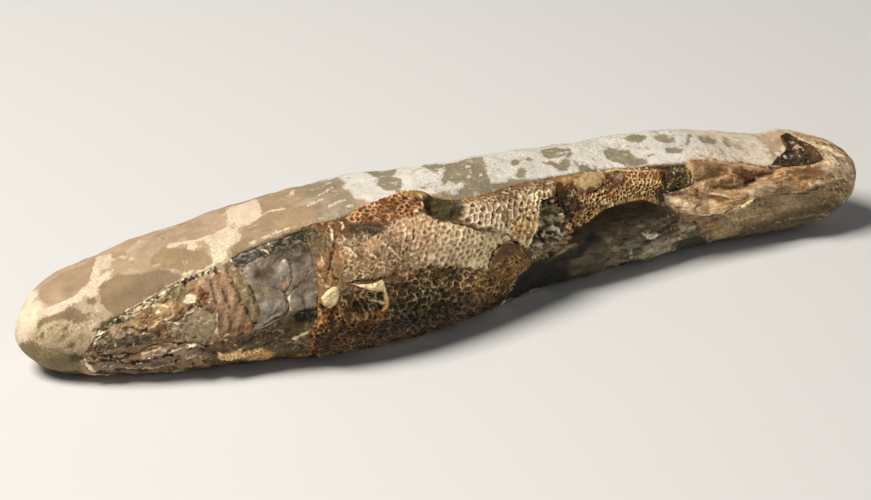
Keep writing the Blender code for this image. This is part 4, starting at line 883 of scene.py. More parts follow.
trunkMarks = [
    # the shoulder, behind the gill cover, split by a deep crack
    area("boneBrown", 0, (-36, 14), (-31.5, 13), (-29.4, 14), (-29.8, 20), (-31, 22.4), (-36, 23), soft=0.7),
    area("girdleBrown", 0, (-36, 6), (-26.5, 6), (-26.5, 11), (-31, 12), (-34, 11), soft=0.7),
    area("oliveDark", -0.25, (-36, 7.6), (-33.4, 7.5), (-32.2, 8.8), (-32.9, 10.4), (-36, 11), soft=0.35),
    line("amber", 0, 1.3, (-28.9, 8.2), (-29.9, 11.1), (-30.9, 14.1), (-31.9, 15.8), soft=0.4),
    line("boneCream", 0.12, 0.35, (-34.1, 10.8), (-33.5, 12.4), (-33.4, 13.8), (-33.7, 15.4)),
    oval("salmon", 0.14, (-33.9, 16.1), (0.9, 0.5)),
    line("boneWhite", 0.18, 0.45, (-29.8, 8.4), (-30.3, 10.4), (-30.6, 12)),
    oval("boneWhite", 0.15, (-31.5, 12.6), (0.5, 0.4)),
    line("boneWhite", 0.15, 0.4, (-28.1, 8), (-27.4, 9.1), (-27.8, 10.2)),
    line("boneCream", 0.1, 0.35, (-28.9, 10.9), (-28.4, 12.4)),
    area("girdleTan", 0, (-35.6, 10.6), (-31.6, 10.2), (-31.4, 12.6), (-32.2, 14.6), (-35.6, 15), soft=0.5),
    line("salmon", 0.15, 0.6, (-29.9, 14.8), (-29.4, 16.9)),
    line("boneCream", 0.1, 0.3, (-34.4, 18.2), (-33.8, 20.2), (-33, 21)),
    line("gold", 0.1, 0.4, (-32.4, 18.6), (-32.8, 20.4)),
    line("creviceBrown", -0.4, 0.4, (-28.9, 8.2), (-29.9, 11.1), (-30.9, 14.1), (-31.9, 15.8), (-32.9, 18.3)),
    line("softCrack", -0.3, 0.3, (-32.1, 17.6), (-31.7, 19.4), (-30.9, 20.8)),
    # the worn, flat middle of the flank
    area("flatRose", 0.08, (-25.6, 13.9), (-21.8, 13.3), (-20.5, 15.4), (-22.5, 16.6), (-25, 15.6), soft=0.5),
    line("salmon", 0.12, 0.4, (-25.3, 14.2), (-24, 14.3), (-22.6, 15.2)),
    line("boneCream", 0.1, 0.3, (-28.6, 13.6), (-27.4, 15.4), (-26.6, 16.6)),
    line("boneCream", 0.1, 0.3, (-24.4, 15.6), (-22.8, 17.4)),
    line("flatRose", 0.08, 0.35, (-28.8, 15.4), (-26.8, 18), (-24.6, 19.6)),
    line("flatRose", 0.08, 0.3, (-26.6, 14.8), (-24.4, 17.6), (-21.4, 19.8)),
    line("boneCream", 0.1, 0.25, (-21.5, 14.2), (-19.4, 16.6), (-17.8, 18.9)),
    line("nearBlack", -0.2, 0.55, (-29.4, 21), (-26.4, 21.4), (-23.4, 21.7), (-21.6, 21.8), soft=0.3),
    line("fleshBrown", -0.1, 0.4, (-20.6, 21.4), (-18.6, 21.6), (-15.4, 22.4), soft=0.3),
    area("smear", -0.25, (-26.4, 9.6), (-23.7, 9.4), (-20.4, 11.1), (-18.9, 12.2), (-20.9, 12.8),
         (-24.2, 12.6), (-26.4, 11.4), soft=0.4),
    area("fleshBrown", 0, (-21, 20.2), (-16.4, 21), (-17, 23.2), (-20.6, 23.6), soft=0.5),
    oval("salmon", 0.12, (-17.4, 21.7), (1.1, 0.5)), oval("boneWhite", 0.15, (-10.9, 19.2), (0.7, 0.45)),
    line("nearBlack", -0.3, 0.5, (-2.6, 25.4), (-1.9, 24.5), (-0.4, 23.7), (1.6, 23.4), soft=0.25),
    # ridge before the hole, the hole and its tail
    area("slabTan", 0.15, (-12.8, 3.2), (-9.4, 3.4), (-7.6, 5.4), (-9.4, 6.4), (-11.6, 6.2), soft=0.3),
    area("smear", -0.2, (-8.2, 8.2), (-4.2, 7.2), (-2, 8.4), (-1.6, 10.4), (-2.4, 12.4), (-4.6, 12.4),
         (-7.2, 11.6), soft=1.3),
    area("hollow", -0.3, (-9.4, 8.4), (-9, 6.4), (-7.6, 5.4), (-5.6, 5.6), (-4, 7), (-2.6, 9.2), (-3.4, 11.2),
         (-5.6, 11.7), (-8.2, 11.1), (-9.2, 9.8), soft=0.3),
    oval("scaleCream", 0.18, (-9.9, 6), (0.5, 0.4)), oval("scaleCream", 0.18, (-10, 7.6), (0.4, 0.6)),
    oval("scaleGold", 0.15, (-10.9, 8.6), (0.6, 0.4)), oval("scaleCream", 0.15, (-12, 9.3), (0.5, 0.35)),
    line("creviceBrown", -0.25, 0.22, (-12.9, 9.1), (-13.4, 11.6), (-14.2, 14.9)),
    # upper band behind the hole
    area("greySpot", -0.2, (6.4, 12.2), (7.6, 11.7), (8.6, 12.8), (8.7, 14.2), (7.4, 14.6), (6.5, 13.6)),
    line("softCrack", -0.3, 0.25, (-4.6, 12.7), (-2.9, 13.3), (-0.4, 14.4), (2.1, 15.2), (6.1, 16.8),
         (8.2, 17.8), (9.8, 19.4)),
    line("scaleCream", 0.1, 0.45, (0.2, 13.9), (3.4, 14.7), (6.4, 15.9), (8.8, 17), (10.4, 18.8), soft=0.2),
    line("boneWhite", 0.2, 0.6, (10.4, 19.2), (12.2, 20), (13.6, 18.6), (15, 16.2), soft=0.25),
    # the hollow behind the fin's first ray, crossed by fine rays
    area("recessBrown", -0.3, (-29.6, 23.6), (-26, 24.4), (-22.8, 25.2), (-22.4, 29.4), (-26, 29.6),
         (-30, 27), soft=0.5),
]
ovalMarks = [
    # the smooth brown oval with its dark arc
    area("ovalBrown", 0.35, (2.8, 24.6), (3, 22.1), (3.8, 20.7), (5.4, 19.6), (7.2, 19.1), (9.4, 19.3),
         (12, 21.2), (13.2, 23.4), (13, 26), (9.6, 27), (6, 26.4)),
    line("creviceBrown", -0.35, 0.32, (2.5, 23.6), (2.7, 21.9), (3.8, 20.3), (5.3, 19.2), (7.2, 18.6),
         (9.6, 18.8)),
    line("gold", 0.1, 0.3, (10.4, 20.6), (11.8, 22), (12.6, 23.8), soft=0.2),
]
ovalNet = net("gold", (1.2, 1), 173, (3, 23), (7, 21.4), (12.4, 22.4), (13.2, 26), (9, 27.6), (5, 26.8),
              rim=0.24, jitter=0.8, filled=0.12, strength=0.8)
fanRays = [((-28.4, 23.4), (-25.4, 29.8)), ((-26.8, 24.6), (-24.2, 29.6)), ((-30.2, 24.6), (-27.4, 30.6)),
           ((-31.6, 25.4), (-29.2, 31.6)), ((-25.6, 25.2), (-23.4, 28.4))]
trunkMarks += [line("boneOchre", 0.22, 0.3, *ends, soft=0.15) for ends in fanRays]
trunkMarks += [line("boneCream", 0.25, 0.6, (-25.2, 26.5), (-23.6, 27.0), (-21.8, 27.4), soft=0.15),
               line("nearBlack", -0.4, 0.7, (-25.6, 28.2), (-23.6, 28.2), (-22.2, 28.9), soft=0.3),
               line("oliveDeep", -0.3, 0.9, (-24.6, 25.4), (-22.8, 25.8), soft=0.3),
               # a bright line along the trunk's raised front edge: partly pale bone, partly painted highlight
               # on its lit face
               line("paleBoneEdge", 0.15, 0.5, (-35.4, 24), (-35.0, 27), (-35.5, 30), soft=0.3)]


def crestTaper(x, s):
    # Behind the hole the fish runs out level with the stone at the crest
    return 0.75 * ramp(x, -5, 1) * (1 - ramp(crestDepth(x, s), 0, 1.8))


def trunkRelief(x, s):
    height = 0.5 * ramp(x, -36, -30) * (1 - 0.4 * ramp(x, 0, 20))
    height += 0.6 * np.exp(-((x + 34.0) / 1.6)**2) * ramp(s, 12, 16)
    height -= 0.7 * ramp(x, -34, -30) * (1 - ramp(x, -26, -22)) * (1 - ramp(s, 8, 12))
    brink = ramp(s - readLine([(-3, 12.3), (0, 14.4), (5, 15.6), (9, 19.2), (14, 21)], x), 0.0, 0.5)
    height += 0.7 * ramp(x, -4, -1) * (1 - brink)
    height -= 2.6 * bell(x, s, -7.3, 8.6, 2.4, 2.5) + 0.9 * bell(x, s, -3.6, 11.6, 2.2, 1.2)
    height -= 1.3 * bell(x, s, -26.3, 26.8, 3.4, 2.4) + 0.4 * ramp(x, 12, 20) * (1 - ramp(s, 11, 14))
    return height - 0.9 * ramp(x, 6, 10) * ramp(s, 26, 31)


def dressTrunk(x, s):
    coat = newCoat(x, s, "fleshBrown", trunkRelief(x, s) - crestTaper(x, s), 0.3, 0.16)
    for field in trunkNets:
        layNet(coat, field)
    mottle(coat, 0.8, 0.18, 77)
    mottle(coat, 5.0, 0.14, 88)
    # The worn middle and the shoulder are laced with thin pale and dark threads
    worn = np.clip(bell(x, s, -23, 16.5, 8.5, 4.6) * 1.3, 0, 1)
    shoulder = (1 - ramp(x, -31.5, -27)) * (1 - ramp(s, 21, 24))
    drawMarks(coat, trunkMarks)
    layThreads(coat, 0.5 * worn, "fleshBrown", 0.8, 85, -0.12, (1.6, 0.9), 6, 0.5)
    layThreads(coat, 0.45 * worn, "boneCream", 1.1, 83, 0.1, (1.6, 0.7), 16, 0.5)
    layGlints(coat, 0.6 * worn, "boneWhite", 0.45, 81, 0.5)
    layThreads(coat, 0.7 * shoulder, "softCrack", 0.9, 89, -0.12, (0.7, 1.6), 6)
    layThreads(coat, 0.7 * shoulder, "boneTan", 0.9, 87, 0.1, (0.7, 1.5), 8)
    layGlints(coat, 0.7 * shoulder, "scaleGold", 0.6, 97, 0.6)
    layGlints(coat, 0.9 * shoulder, "softCrack", 0.6, 103, 0.3)
    roughen(coat, (1.6, 0.08, 71), (0.7, 0.07, 72), (0.35, 0.05, 73))
    hollow = bell(x, s, -6.6, 9.2, 3.4, 2.8)
    coat["height"] += hollow * (0.5 * grain((x, s), 1.1, 75) + 0.3 * grain((x, s), 0.5, 74))
    layThreads(coat, 0.6 * hollow, "matrixBrownAndShade", 0.7, 80, 0.2, sharp=5)
    layThreads(coat, 0.6 * hollow, "nearBlack", 0.9, 82, -0.2, sharp=6)
    layGlints(coat, 0.8 * hollow, "boneOlive", 0.7, 106, 0.2)
    layGlints(coat, 0.8 * hollow, "nearBlack", 0.8, 107, 0.1)
    layThreads(coat, 0.9 * bell(x, s, 8, 8.0, 14, 0.7), "scaleRust", 0.45, 91, -0.1, (0.6, 1.0), 4, -0.4)
    low = ramp(s, 20.5, 24) * ramp(x, -37, -35)
    layGlints(coat, 0.35 + 0.5 * low, "scaleCream", 0.5, 78, 0.62)
    layGlints(coat, 0.5 * low, "scaleGold", 0.7, 90, 0.55)
    layPatches(coat, 0.5 * low, "nearBlack", 2.2, 79, 0.3, 1.0, -0.15)
    here = 0.8 * low * ramp(grain((x, s), 2.2, 93), -0.2, 0.4)
    layThreads(coat, here, "scaleCream", 1.5, 94, 0.12, (1.5, 0.8), 30, 0.4)
    here = 0.7 * low * ramp(grain((x, s), 2.6, 96), 0.0, 0.5)
    layThreads(coat, here, "scaleGold", 1.6, 95, 0.12, (0.8, 1.3), 30, -0.3)
    layPatches(coat, 0.55 * low, "nearBlack", 3.4, 98, 0.1, 0.7, -0.15)
    drawMarks(coat, ovalMarks)
    layNet(coat, ovalNet)
    smooth = bell(x, s, 8, 22.8, 5.4, 4.2)
    layPatches(coat, 0.7 * smooth, "smear", 1.3, 99, 0.0, 0.8)
    layThreads(coat, 0.6 * smooth, "boneOchre", 0.9, 84, 0.05, (1.2, 1.0), 14)
    lightPlaces([coat["colour"]], x, s, (-22, 20.5, 3, 1.6, 0.2), (-19, 16, 3.2, 2.2, -0.13),
                (-3, 24, 4, 2.5, 0.7), (-17, 7, 3, 1.8, -0.28), (-32.5, 18, 2.6, 3.5, 0.3),
                (-12, 25.5, 4, 2.5, 0.15), (-7, 14, 3, 1.5, -0.12), (3, 18, 3, 1.6, 0.12),
                (14, 11, 3, 1.6, 0.12))
    # Painted shade: the colour darkens towards the underside
    darken(coat, 0.72 * ramp(s, 26.5, 33.5))
    return coat


# The tail stock and the crystals in the break

stockNets = [
    net("stock", (0.92, 0.82), 163, (24, 10.6), (29, 11.6), (35, 8.6), (38, 7.2), (55, 7), (55, 19), (19, 19),
        (21, 11), rim=0.22, jitter=0.85, worn=-0.05, slope=0.2),
    net("end", (1.1, 0.55), 167, (46.4, 9), (49.1, 7.8), (53.6, 8), (54.4, 10.4), (53.4, 13), (49, 14),
        (46.4, 13), (45.9, 10.6), jitter=0.8, lift=0.2, slope=-0.2, filled=0.12),
]
stockMarks = [
    area("bandRose", 0.05, (20, 6), (37, 5.5), (38, 7.2), (30, 7.6), (23, 8.4), (20, 9.6), soft=0.4),
    area("boneOchre", 0.1, (22.2, 7.3), (25.4, 7), (25.2, 8.6), (23.6, 9), (22.4, 8.4), soft=0.3),
    area("girdleBrown", 0, (21, 8.6), (24, 8.8), (26, 10.6), (22, 10.6), soft=0.4),
    area("lensTan", 0.15, (25.8, 9.4), (26.6, 8.2), (28.6, 7.4), (31.6, 6.7), (33.8, 7.2), (33.4, 8.8),
         (31.4, 10.2), (27.8, 10.9), soft=0.25),
    area("fleshBrown", 0, (31.4, 11), (34, 9.2), (36, 8.3), (38, 8.4), (37.2, 10.6), (34.6, 11.6), soft=0.4),
    line("creviceBrown", -0.2, 0.35, (25.2, 10.2), (26.6, 11.2), (29, 11.5), (32, 10.6), (35, 9.2)),
    line("boneOchre", 0.05, 0.4, (25.8, 8.6), (28, 7.7), (29.4, 7), soft=0.2),
    oval("boneRose", 0.05, (36.6, 8.9), (0.9, 0.6)),
    area("stockBrown", -0.2, (20.6, 10.4), (24, 10.2), (26.2, 11.4), (26.4, 14.2), (23.6, 16.4),
         (21.6, 14.6)),
    line("scaleGold", 0.1, 0.3, (26.6, 17), (29.4, 15.8), (32, 14.7), (36, 14), (41, 14.1), (44, 15.2),
         soft=0.25),
    line("scaleCream", 0.08, 0.25, (35.4, 6.8), (38.6, 7.3), (42.1, 8.2)),
    line("girdleBrown", 0, 0.5, (42, 8), (47, 8.2)),
    area("oliveEnd", -0.15, (44, 13.4), (46, 12.2), (46.8, 15.6), (45, 16), soft=0.3),
]


def stockRelief(x, s):
    height = 0.6 + 0.4 * bell(x, s, 29, 9, 4.5, 2.0) - 0.7 * ramp(x, 46, 48)
    return height - 0.7 * bell(x, s, 23, 13, 1.8, 2.5)


stock = {**fishPiece, "columns": 210, "rows": 60, "inset": 0.8, "top": seams["crestStock"],
         "bottom": seams["stockEdge"], "front": seams["stockFront"], "rear": seams["stockRear"]}


def dressStock(x, s):
    coat = newCoat(x, s, "girdleBrown", stockRelief(x, s) - crestTaper(x, s), 0.3, 0.2)
    for field in stockNets:
        layNet(coat, field)
    mottle(coat, 0.8, 0.18, 184)
    mottle(coat, 4.5, 0.16, 187)
    drawMarks(coat, stockMarks)
    roughen(coat, (1.5, 0.08, 181), (0.7, 0.07, 182), (0.35, 0.05, 183))
    layThreads(coat, 0.45, "scaleRust", 1.2, 186, -0.1, (1.6, 0.8), 8, -0.3)
    layGlints(coat, 0.7, "scaleCream", 0.45, 188, 0.4)
    layGlints(coat, ramp(1.2 - crestDepth(x, s), 0, 0.8), "scaleCream", 0.5, 189, 0.2)
    layPatches(coat, 0.5 * (1 - bell(x, s, 30, 8.8, 4, 2)), "scaleRust", 2.0, 185, 0.4, 1.1, -0.1)
    darken(coat, 0.35 * ramp(x, 25, 22) + 0.25 * ramp(s, 12, 15) - 0.2 * bell(x, s, 33, 12.3, 3, 2)
           + 0.12 * bell(x, s, 28, 13.8, 2.5, 1.5))
    return coat


crustMarks = [
    area("crystalGreen", -0.3, (16.6, 13.6), (18.3, 12.5), (21.1, 12.3), (22.3, 13.2), (20.6, 14.9),
         (18.4, 15.3), (16.8, 14.6), soft=0.3),
    line("crystalBrown", 0, 0.8, (17, 11.4), (19.6, 11), (21.6, 11.4), soft=0.4),
    line("crack", -0.6, 0.9, (13.4, 21.4), (15.4, 19.8), (18.1, 18.2), soft=0.4),
    line("boneWhite", 0.3, 0.5, (16.4, 17.3), (17.6, 16.6), soft=0.3),
    oval("boneWhite", 0.3, (19.6, 18), (0.9, 0.5), soft=0.3),
    oval("salmon", 0.3, (23.4, 18), (0.7, 0.45), soft=0.3),
    oval("crystalWhite", 0.3, (20.9, 18.8), (0.5, 0.4), soft=0.3),
    oval("boneWhite", 0.3, (14.1, 24.2), (0.5, 0.7), soft=0.3),
    oval("crystalWhite", 0.2, (16.2, 21.6), (0.9, 0.5), soft=0.3),
]


def crustRelief(x, s):
    return -1.5 - 1.0 * bell(x, s, 18.9, 13.6, 2.2, 1.2) - 0.7 * bell(x, s, 16.0, 19.4, 2.6, 1.2)


crust = {**fishPiece, "columns": 90, "rows": 80, "inset": 0.5,
         "top": [(20.4, 10.9), (20.9, 9.9), (21.6, 10.2), (21.9, 11.5)], "bottom": seams["crustBottom"],
         "front": seams["crustFront"], "rear": seams["crustRear"]}


def dressCrust(x, s):
    coat = newCoat(x, s, "crystalBrown", crustRelief(x, s) + 0.5, 0.3, 0.2)
    for scale, seed, lift in (((1.9, 1.5), 91, 0.8), ((0.9, 0.75), 92, 0.5)):
        apart, own, across, down = netCells(x + 0.3 * grain((x, s), 1.1, 93), s, *scale, 0.95, seed)
        turn = 2 * np.pi * own
        coat["height"] += lift * (0.7 * (own - 0.4) + 0.8 * (across * np.cos(turn) + down * np.sin(turn)))
        lay(coat, 0.25 * ramp(own, 0.6, 0.9) * (1 - ramp(s, 17.5, 19.5)), "crystalWhite")
        lay(coat, 0.4 * ramp(own, 0.35, 0.8) * ramp(s, 18.5, 20.5), "crystalTan")
        lay(coat, 0.6 * (1 - ramp(own, 0.12, 0.3)), "crack", -0.2)
        lay(coat, (1 - ramp(apart, 0.0, 0.12)) * 0.5, "crack", -0.1)
    lay(coat, 0.85 * bell(x, s, 16.2, 19, 3.2, 1.3), "crack", -0.2)
    lay(coat, 0.3 * bell(x, s, 17.5, 22.8, 2.4, 1.2), "crystalWhite")
    drawMarks(coat, crustMarks)
    roughen(coat, (0.5, 0.12, 96), (0.3, 0.06, 98))
    mottle(coat, 1.0, 0.35, 95)
    layGlints(coat, 0.9, "boneWhite", 0.55, 99, 0.3)
    layGlints(coat, 0.8, "scaleGold", 0.6, 100, 0.35)
    layGlints(coat, 0.8, "boneRose", 0.8, 104, 0.4)
    return coat


# Small loose bones, and the glassy lump at the tail

def crowned(values, x, s):
    # 0 at the piece's rim, rising to 1 over its middle as a quarter ellipse
    ring = np.concatenate([evenLine(values["top"], 40), evenLine(values["bottom"], 40)[::-1]])
    within = np.clip(depthInside([tuple(p) for p in ring], x, s) / values["round"], 0, 1)
    return np.sqrt(1 - (1 - within)**2)


def dressBone(values):
    def dress(x, s):
        crown, edge, seed = crowned(values, x, s), values["edgeFinish"], values["seed"]
        coat = newCoat(x, s, values["finish"], values["under"](x, s) + values["proud"] * (crown - 0.35), 0.0)
        lay(coat, 0.8 * ramp(0.8 - crown + 0.3 * grain((x, s), 0.9, seed + 5), 0, 0.5), edge)
        if "mix" in values:
            lay(coat, 0.8 * values["mix"](x, s), edge)
        layThreads(coat, 0.5, edge, 0.8, seed + 7, -0.1, (1.5, 0.8), 6, 0.3)
        roughen(coat, (1.1, 0.15, seed), (0.5, 0.12, seed + 1), (0.3, 0.05, seed + 9))
        mottle(coat, 0.9, 0.25, seed + 2)
        layGlints(coat, 0.8, values["glint"], 0.5, seed + 3, 0.3)
        return coat
    return dress


paleBone = {"coarse": 4, "inset": 0.3, "finish": "paleBone", "edgeFinish": "paleBoneEdge",
            "glint": "scaleRust", "slot": "pale_bone"}
tailBone = {"rows": 12, "coarse": 4, "depth": 0.8, "inset": 0.1, "round": 0.3, "proud": 0.6,
            "finish": "boneCream", "edgeFinish": "ledgeTan", "glint": "slabBrown", "slot": "pale_bone"}
smallBones = {
    "shoulderBone": {**paleBone, "stands": "shoulder_bone", "columns": 48, "rows": 40, "depth": 1.0,
                     "top": [(-34.9, 22.6), (-34.2, 21.7), (-33.0, 21.0), (-31.5, 21.2), (-31.0, 22.4)],
                     "bottom": [(-34.9, 22.6), (-34.6, 24.2), (-33.2, 25.4), (-31.8, 24.8), (-31.0, 22.4)],
                     "round": 1.0, "proud": 0.9, "seed": 301, "under": trunkRelief,
                     "mix": lambda x, s: 0.8 * ramp(s - 0.5 * (x + 33), 23.0, 25.0)},
    "finSpine": {**paleBone, "stands": "fin_spine", "columns": 96, "rows": 24, "depth": 1.8,
                 "top": [(-29.2, 21.1), (-26.5, 22.0), (-23.6, 22.2), (-22.2, 22.0), (-21.7, 23.4),
                         (-21.3, 25.2), (-20.9, 27.0), (-21.2, 28.6), (-22.6, 29.5)],
                 "bottom": [(-29.2, 21.1), (-27.2, 22.4), (-25.0, 23.7), (-23.2, 24.5), (-22.3, 24.6),
                            (-22.1, 26.2), (-21.9, 27.8), (-22.2, 28.8), (-22.6, 29.5)],
                 "round": 0.5, "proud": 0.7, "seed": 311, "under": lambda x, s: 0.4,
                 "mix": lambda x, s: np.maximum(ramp(s, 23.2, 24.2) * ramp(-x, 21.9, 22.6),
                                                ramp(s, 24.6, 27))},
    "tailBoneUpper": {**tailBone, "stands": "tail_bone_upper", "columns": 64, "seed": 321,
                      "top": [(57.0, 14.8), (58.1, 14.6), (60.6, 14.9), (63.0, 15.4), (64.2, 15.8)],
                      "bottom": [(57.0, 14.8), (58.0, 15.1), (60.5, 15.5), (62.9, 16.0), (64.2, 15.8)],
                      "under": lambda x, s: 0.6},
    "tailBoneLower": {**tailBone, "stands": "tail_bone_lower", "columns": 72, "seed": 331,
                      "top": [(60.2, 18.9), (61.0, 18.2), (63.8, 17.2), (66.2, 15.9), (67.6, 15.2)],
                      "bottom": [(60.2, 18.9), (61.2, 18.8), (64.1, 17.8), (66.6, 16.4), (67.6, 15.2)],
                      "under": lambda x, s: 1.0},
    "tailLump": {"stands": "tail_lump", "columns": 88, "rows": 60, "coarse": 4, "depth": 2.0, "inset": 0.5,
                 "top": [(79.0, -1.5), (80.6, -2.6), (82.0, 0.6), (84.0, 4.6), (84.0, 6.6), (81.0, 7.9),
                         (77.0, 8.1), (73.0, 7.9)],
                 "bottom": [(79.0, -1.5), (78.4, 1.0), (77.3, 4.4), (75.0, 6.0), (73.0, 7.9)],
                 "round": 1.0, "proud": 0.9, "finish": "glassDark", "edgeFinish": "glassPale", "seed": 341,
                 "glint": "boneCream", "slot": "dark_calcite",
                 "under": lambda x, s: 0.3 + 0.7 * bell(x, s, 78.5, 6.3, 3.5, 1.4),
                 "mix": lambda x, s: np.maximum(
                     0.9 * ramp(x, 80.9, 82.6),
                     0.4 * ramp(distanceTo([(80.8, 1.0), (80.0, 4.0), (78.6, 7.4)], x, s), 0.9, 0.4))},
}


# The nodule

stains = [
    area("sandLime", 0, (74.8, -3.6), (78, -4.2), (81.2, -3.2), (80.2, -1), (77.6, 2.6), (76.1, 4.2),
         (74.4, 4.2), (75, 1.2), (74.2, -1)),
    area("rindPale", 0, (80.8, -2.4), (84, 0.2), (88, 1.6), (91, 4.4), (88, 4.6), (84, 2.4), (81.4, 1.2)),
    # the sandy left end
    area("sandPatch", 0, (-87, 0), (-86, -3), (-80, -4.5), (-76, -3.4), (-74.8, -2), (-75.4, 1), (-78, 3),
         (-80, 4.4), (-83, 4.5), (-85.2, 3.3)),
    line("taupe", 0, 2.3, (-86.2, 5.6), (-84, 6.6), (-82.2, 8), (-81.2, 9.6)),
    area("taupe", 0, (-76, 5.2), (-74, 4.1), (-71, 4.5), (-69, 5.7), (-66, 6.2), (-63, 7.2), (-61, 9),
         (-60, 10.2), (-64, 10.8), (-70, 12), (-74, 12.8), (-75.4, 11), (-76.2, 8)),
    oval("taupe", 0, (-78, 7.6), (0.9, 0.8)), oval("lightTaupe", 0, (-79.8, 10.2), (0.7, 0.9)),
    area("lightTaupe", 0, (-65, 3.2), (-62.6, 1.4), (-60.6, 0.4), (-59.6, 2), (-60.6, 4.2), (-63, 4.9),
         (-65, 4.6)),
    area("lightTaupe", 0, (-60.8, 2.2), (-58, 3.4), (-56.6, 5), (-54.4, 5), (-54.2, 9.6), (-58, 10.2),
         (-59.6, 9.4), (-61.6, 7.4), (-63.5, 6.4), (-63.6, 5)),
    area("lightTaupe", 0, (-50, 7.6), (-48.6, 6.4), (-46.2, 5.4), (-44.8, 7.2), (-47, 8.4), (-49.6, 8.8)),
    area("mossLime", 0, (-78.8, 13.4), (-76, 12.3), (-73.2, 12.2), (-71.6, 13), (-74.4, 14.8), (-77.6, 14.8)),
    area("mossLime", 0, (-85.2, 15.4), (-84.2, 16), (-82.8, 16.4), (-81.4, 18.4), (-82.2, 20.6), (-84, 18.8)),
    # the white right side
    area("greyTaupe", 0, (-16.4, -8.5), (-15.8, -4.6), (-15, -3.4), (-12.4, -3.6), (-10.6, -5.2),
         (-9.4, -8.5)),
    oval("greyTaupe", 0, (-13.7, -0.9), (2.6, 2.6)), line("greyTaupe", 0, 1, (-13.2, 0.8), (-12.9, 4.2)),
    area("greyTaupe", 0, (-3.4, -1.8), (-4.6, -6.2), (-1, -6.4), (0.4, -4.4), (-1.4, -2.2)),
    area("greyTaupe", 0, (-4, 3.6), (-2.4, 0.4), (-0.6, -2.2), (0, -4.6), (4, -5.6), (9.8, -5), (8.9, -1.8),
         (8, 1), (7.2, 4.4), (7, 5.6), (14, 5.9), (15.5, 6.6), (10, 7.4), (0, 8.1), (-3, 7.6), (-5.2, 6.6),
         (-4.8, 5.6), (-3.6, 6.9), (-2, 7.2), (-0.4, 5.7), (0.4, 4.9), (1.6, 3.2), (-1.2, 4.1), (-1.6, 2.6)),
    oval("greyTaupe", 0, (-8, 2.9), (0.5, 0.4)), oval("greyTaupe", 0, (-6.3, 2), (0.35, 0.3)),
    area("greyTaupe", 0, (14.6, 0.9), (15.4, -1.4), (17, -1.6), (17, 0.2), (16, 1.1)),
    area("greyTaupe", 0, (13.4, 4.4), (14.8, 3.2), (16, 2.5), (16.7, 3.4), (15.6, 5.2), (14.2, 5.4)),
    oval("greyTaupe", 0, (19.2, -0.4), (0.7, 0.8)), oval("greyTaupe", 0, (12.4, 5.4), (0.8, 0.5)),
    area("greyTaupe", 0, (22.9, -0.8), (23.4, -3.4), (25.6, -5), (28.2, -4.8), (29.6, -2.6), (28.9, -1.2),
         (27.4, 0.3), (25, 0.6), (23.6, 0.1)),
    line("greyTaupe", 0, 0.8, (28.2, 0.8), (29.6, -0.9), (30.2, -3)),
    area("greyTaupe", 0, (21.6, 1.4), (24.4, 1.5), (24.8, 3.2), (26.8, 1.6), (27.9, 1.8), (27.4, 4),
         (25.6, 5.5), (24.2, 5.2), (23.2, 3.2)),
    area("greyTaupe", 0, (28.6, 5.6), (29.6, 4.4), (31.2, 4.6), (31.6, 6), (32.5, 6.9), (30.4, 7.4)),
    area("greyTaupe", 0, (36.6, 1.4), (37.6, -0.2), (39.6, -0.6), (41.2, 0.2), (42.6, 2), (42.6, 4.4),
         (44.6, 5.2), (45.4, 6.4), (42.4, 7.3), (39.6, 6.4), (37.4, 4.6), (36.6, 3.2)),
    area("greyTaupe", 0, (43.6, -3.6), (47, -5), (49.2, -3.6), (48.2, -1.4), (46, -0.5), (44.4, -1.4)),
    area("greyTaupe", 0, (50.2, -2.6), (53.8, -3.2), (54.6, -1), (53.8, 1.2), (52, 1.2), (50.6, -0.2)),
    oval("greyTaupe", 0, (52.4, 4.2), (1.9, 1)), oval("greyTaupe", 0, (61.6, 0.6), (1.9, 2)),
    line("greyTaupe", 0, 0.7, (56, 2.4), (57.6, 0), (58.8, -1.8)),
    oval("greyTaupe", 0, (66, 1.4), (0.8, 1.2)), oval("lightTaupe", 0, (68.6, 2.8), (0.7, 0.6)),
    oval("greyTaupe", 0, (46.2, 4.4), (0.9, 0.4)),
    area("mossOval", 0, (50.6, 29.4), (51.1, 27.8), (53.1, 26.2), (55.6, 25.9), (57.8, 27.4), (58.8, 30),
         (59.4, 33), (57, 35.4), (54, 34.4), (52, 32)),
    # the blotched nose below the vein
    *(oval("noseSpot", 0, (x, s), (size, 0.8 * size)) for x, s, size in (
        (-87.9, 5.2, 1), (-84.6, 11.4, 0.9), (-83.4, 14.1, 0.7), (-79.9, 10.1, 0.8), (-84, 9.9, 0.5),
        (-86.4, 8.1, 0.6), (-88.4, 7.6, 0.7), (-77.8, 7.5, 0.8), (-89.6, 9.8, 0.9), (-87, 12.6, 0.8),
        (-86.2, 15, 0.9), (-89, 12.6, 0.7))),
    area("noseUnder", 0, (-92.2, 3.2), (-90.6, 6.2), (-88.9, 9.2), (-85.9, 13), (-83.6, 16.1), (-81.8, 19.4),
         (-82, 24), (-90, 18), (-93, 10)),
]
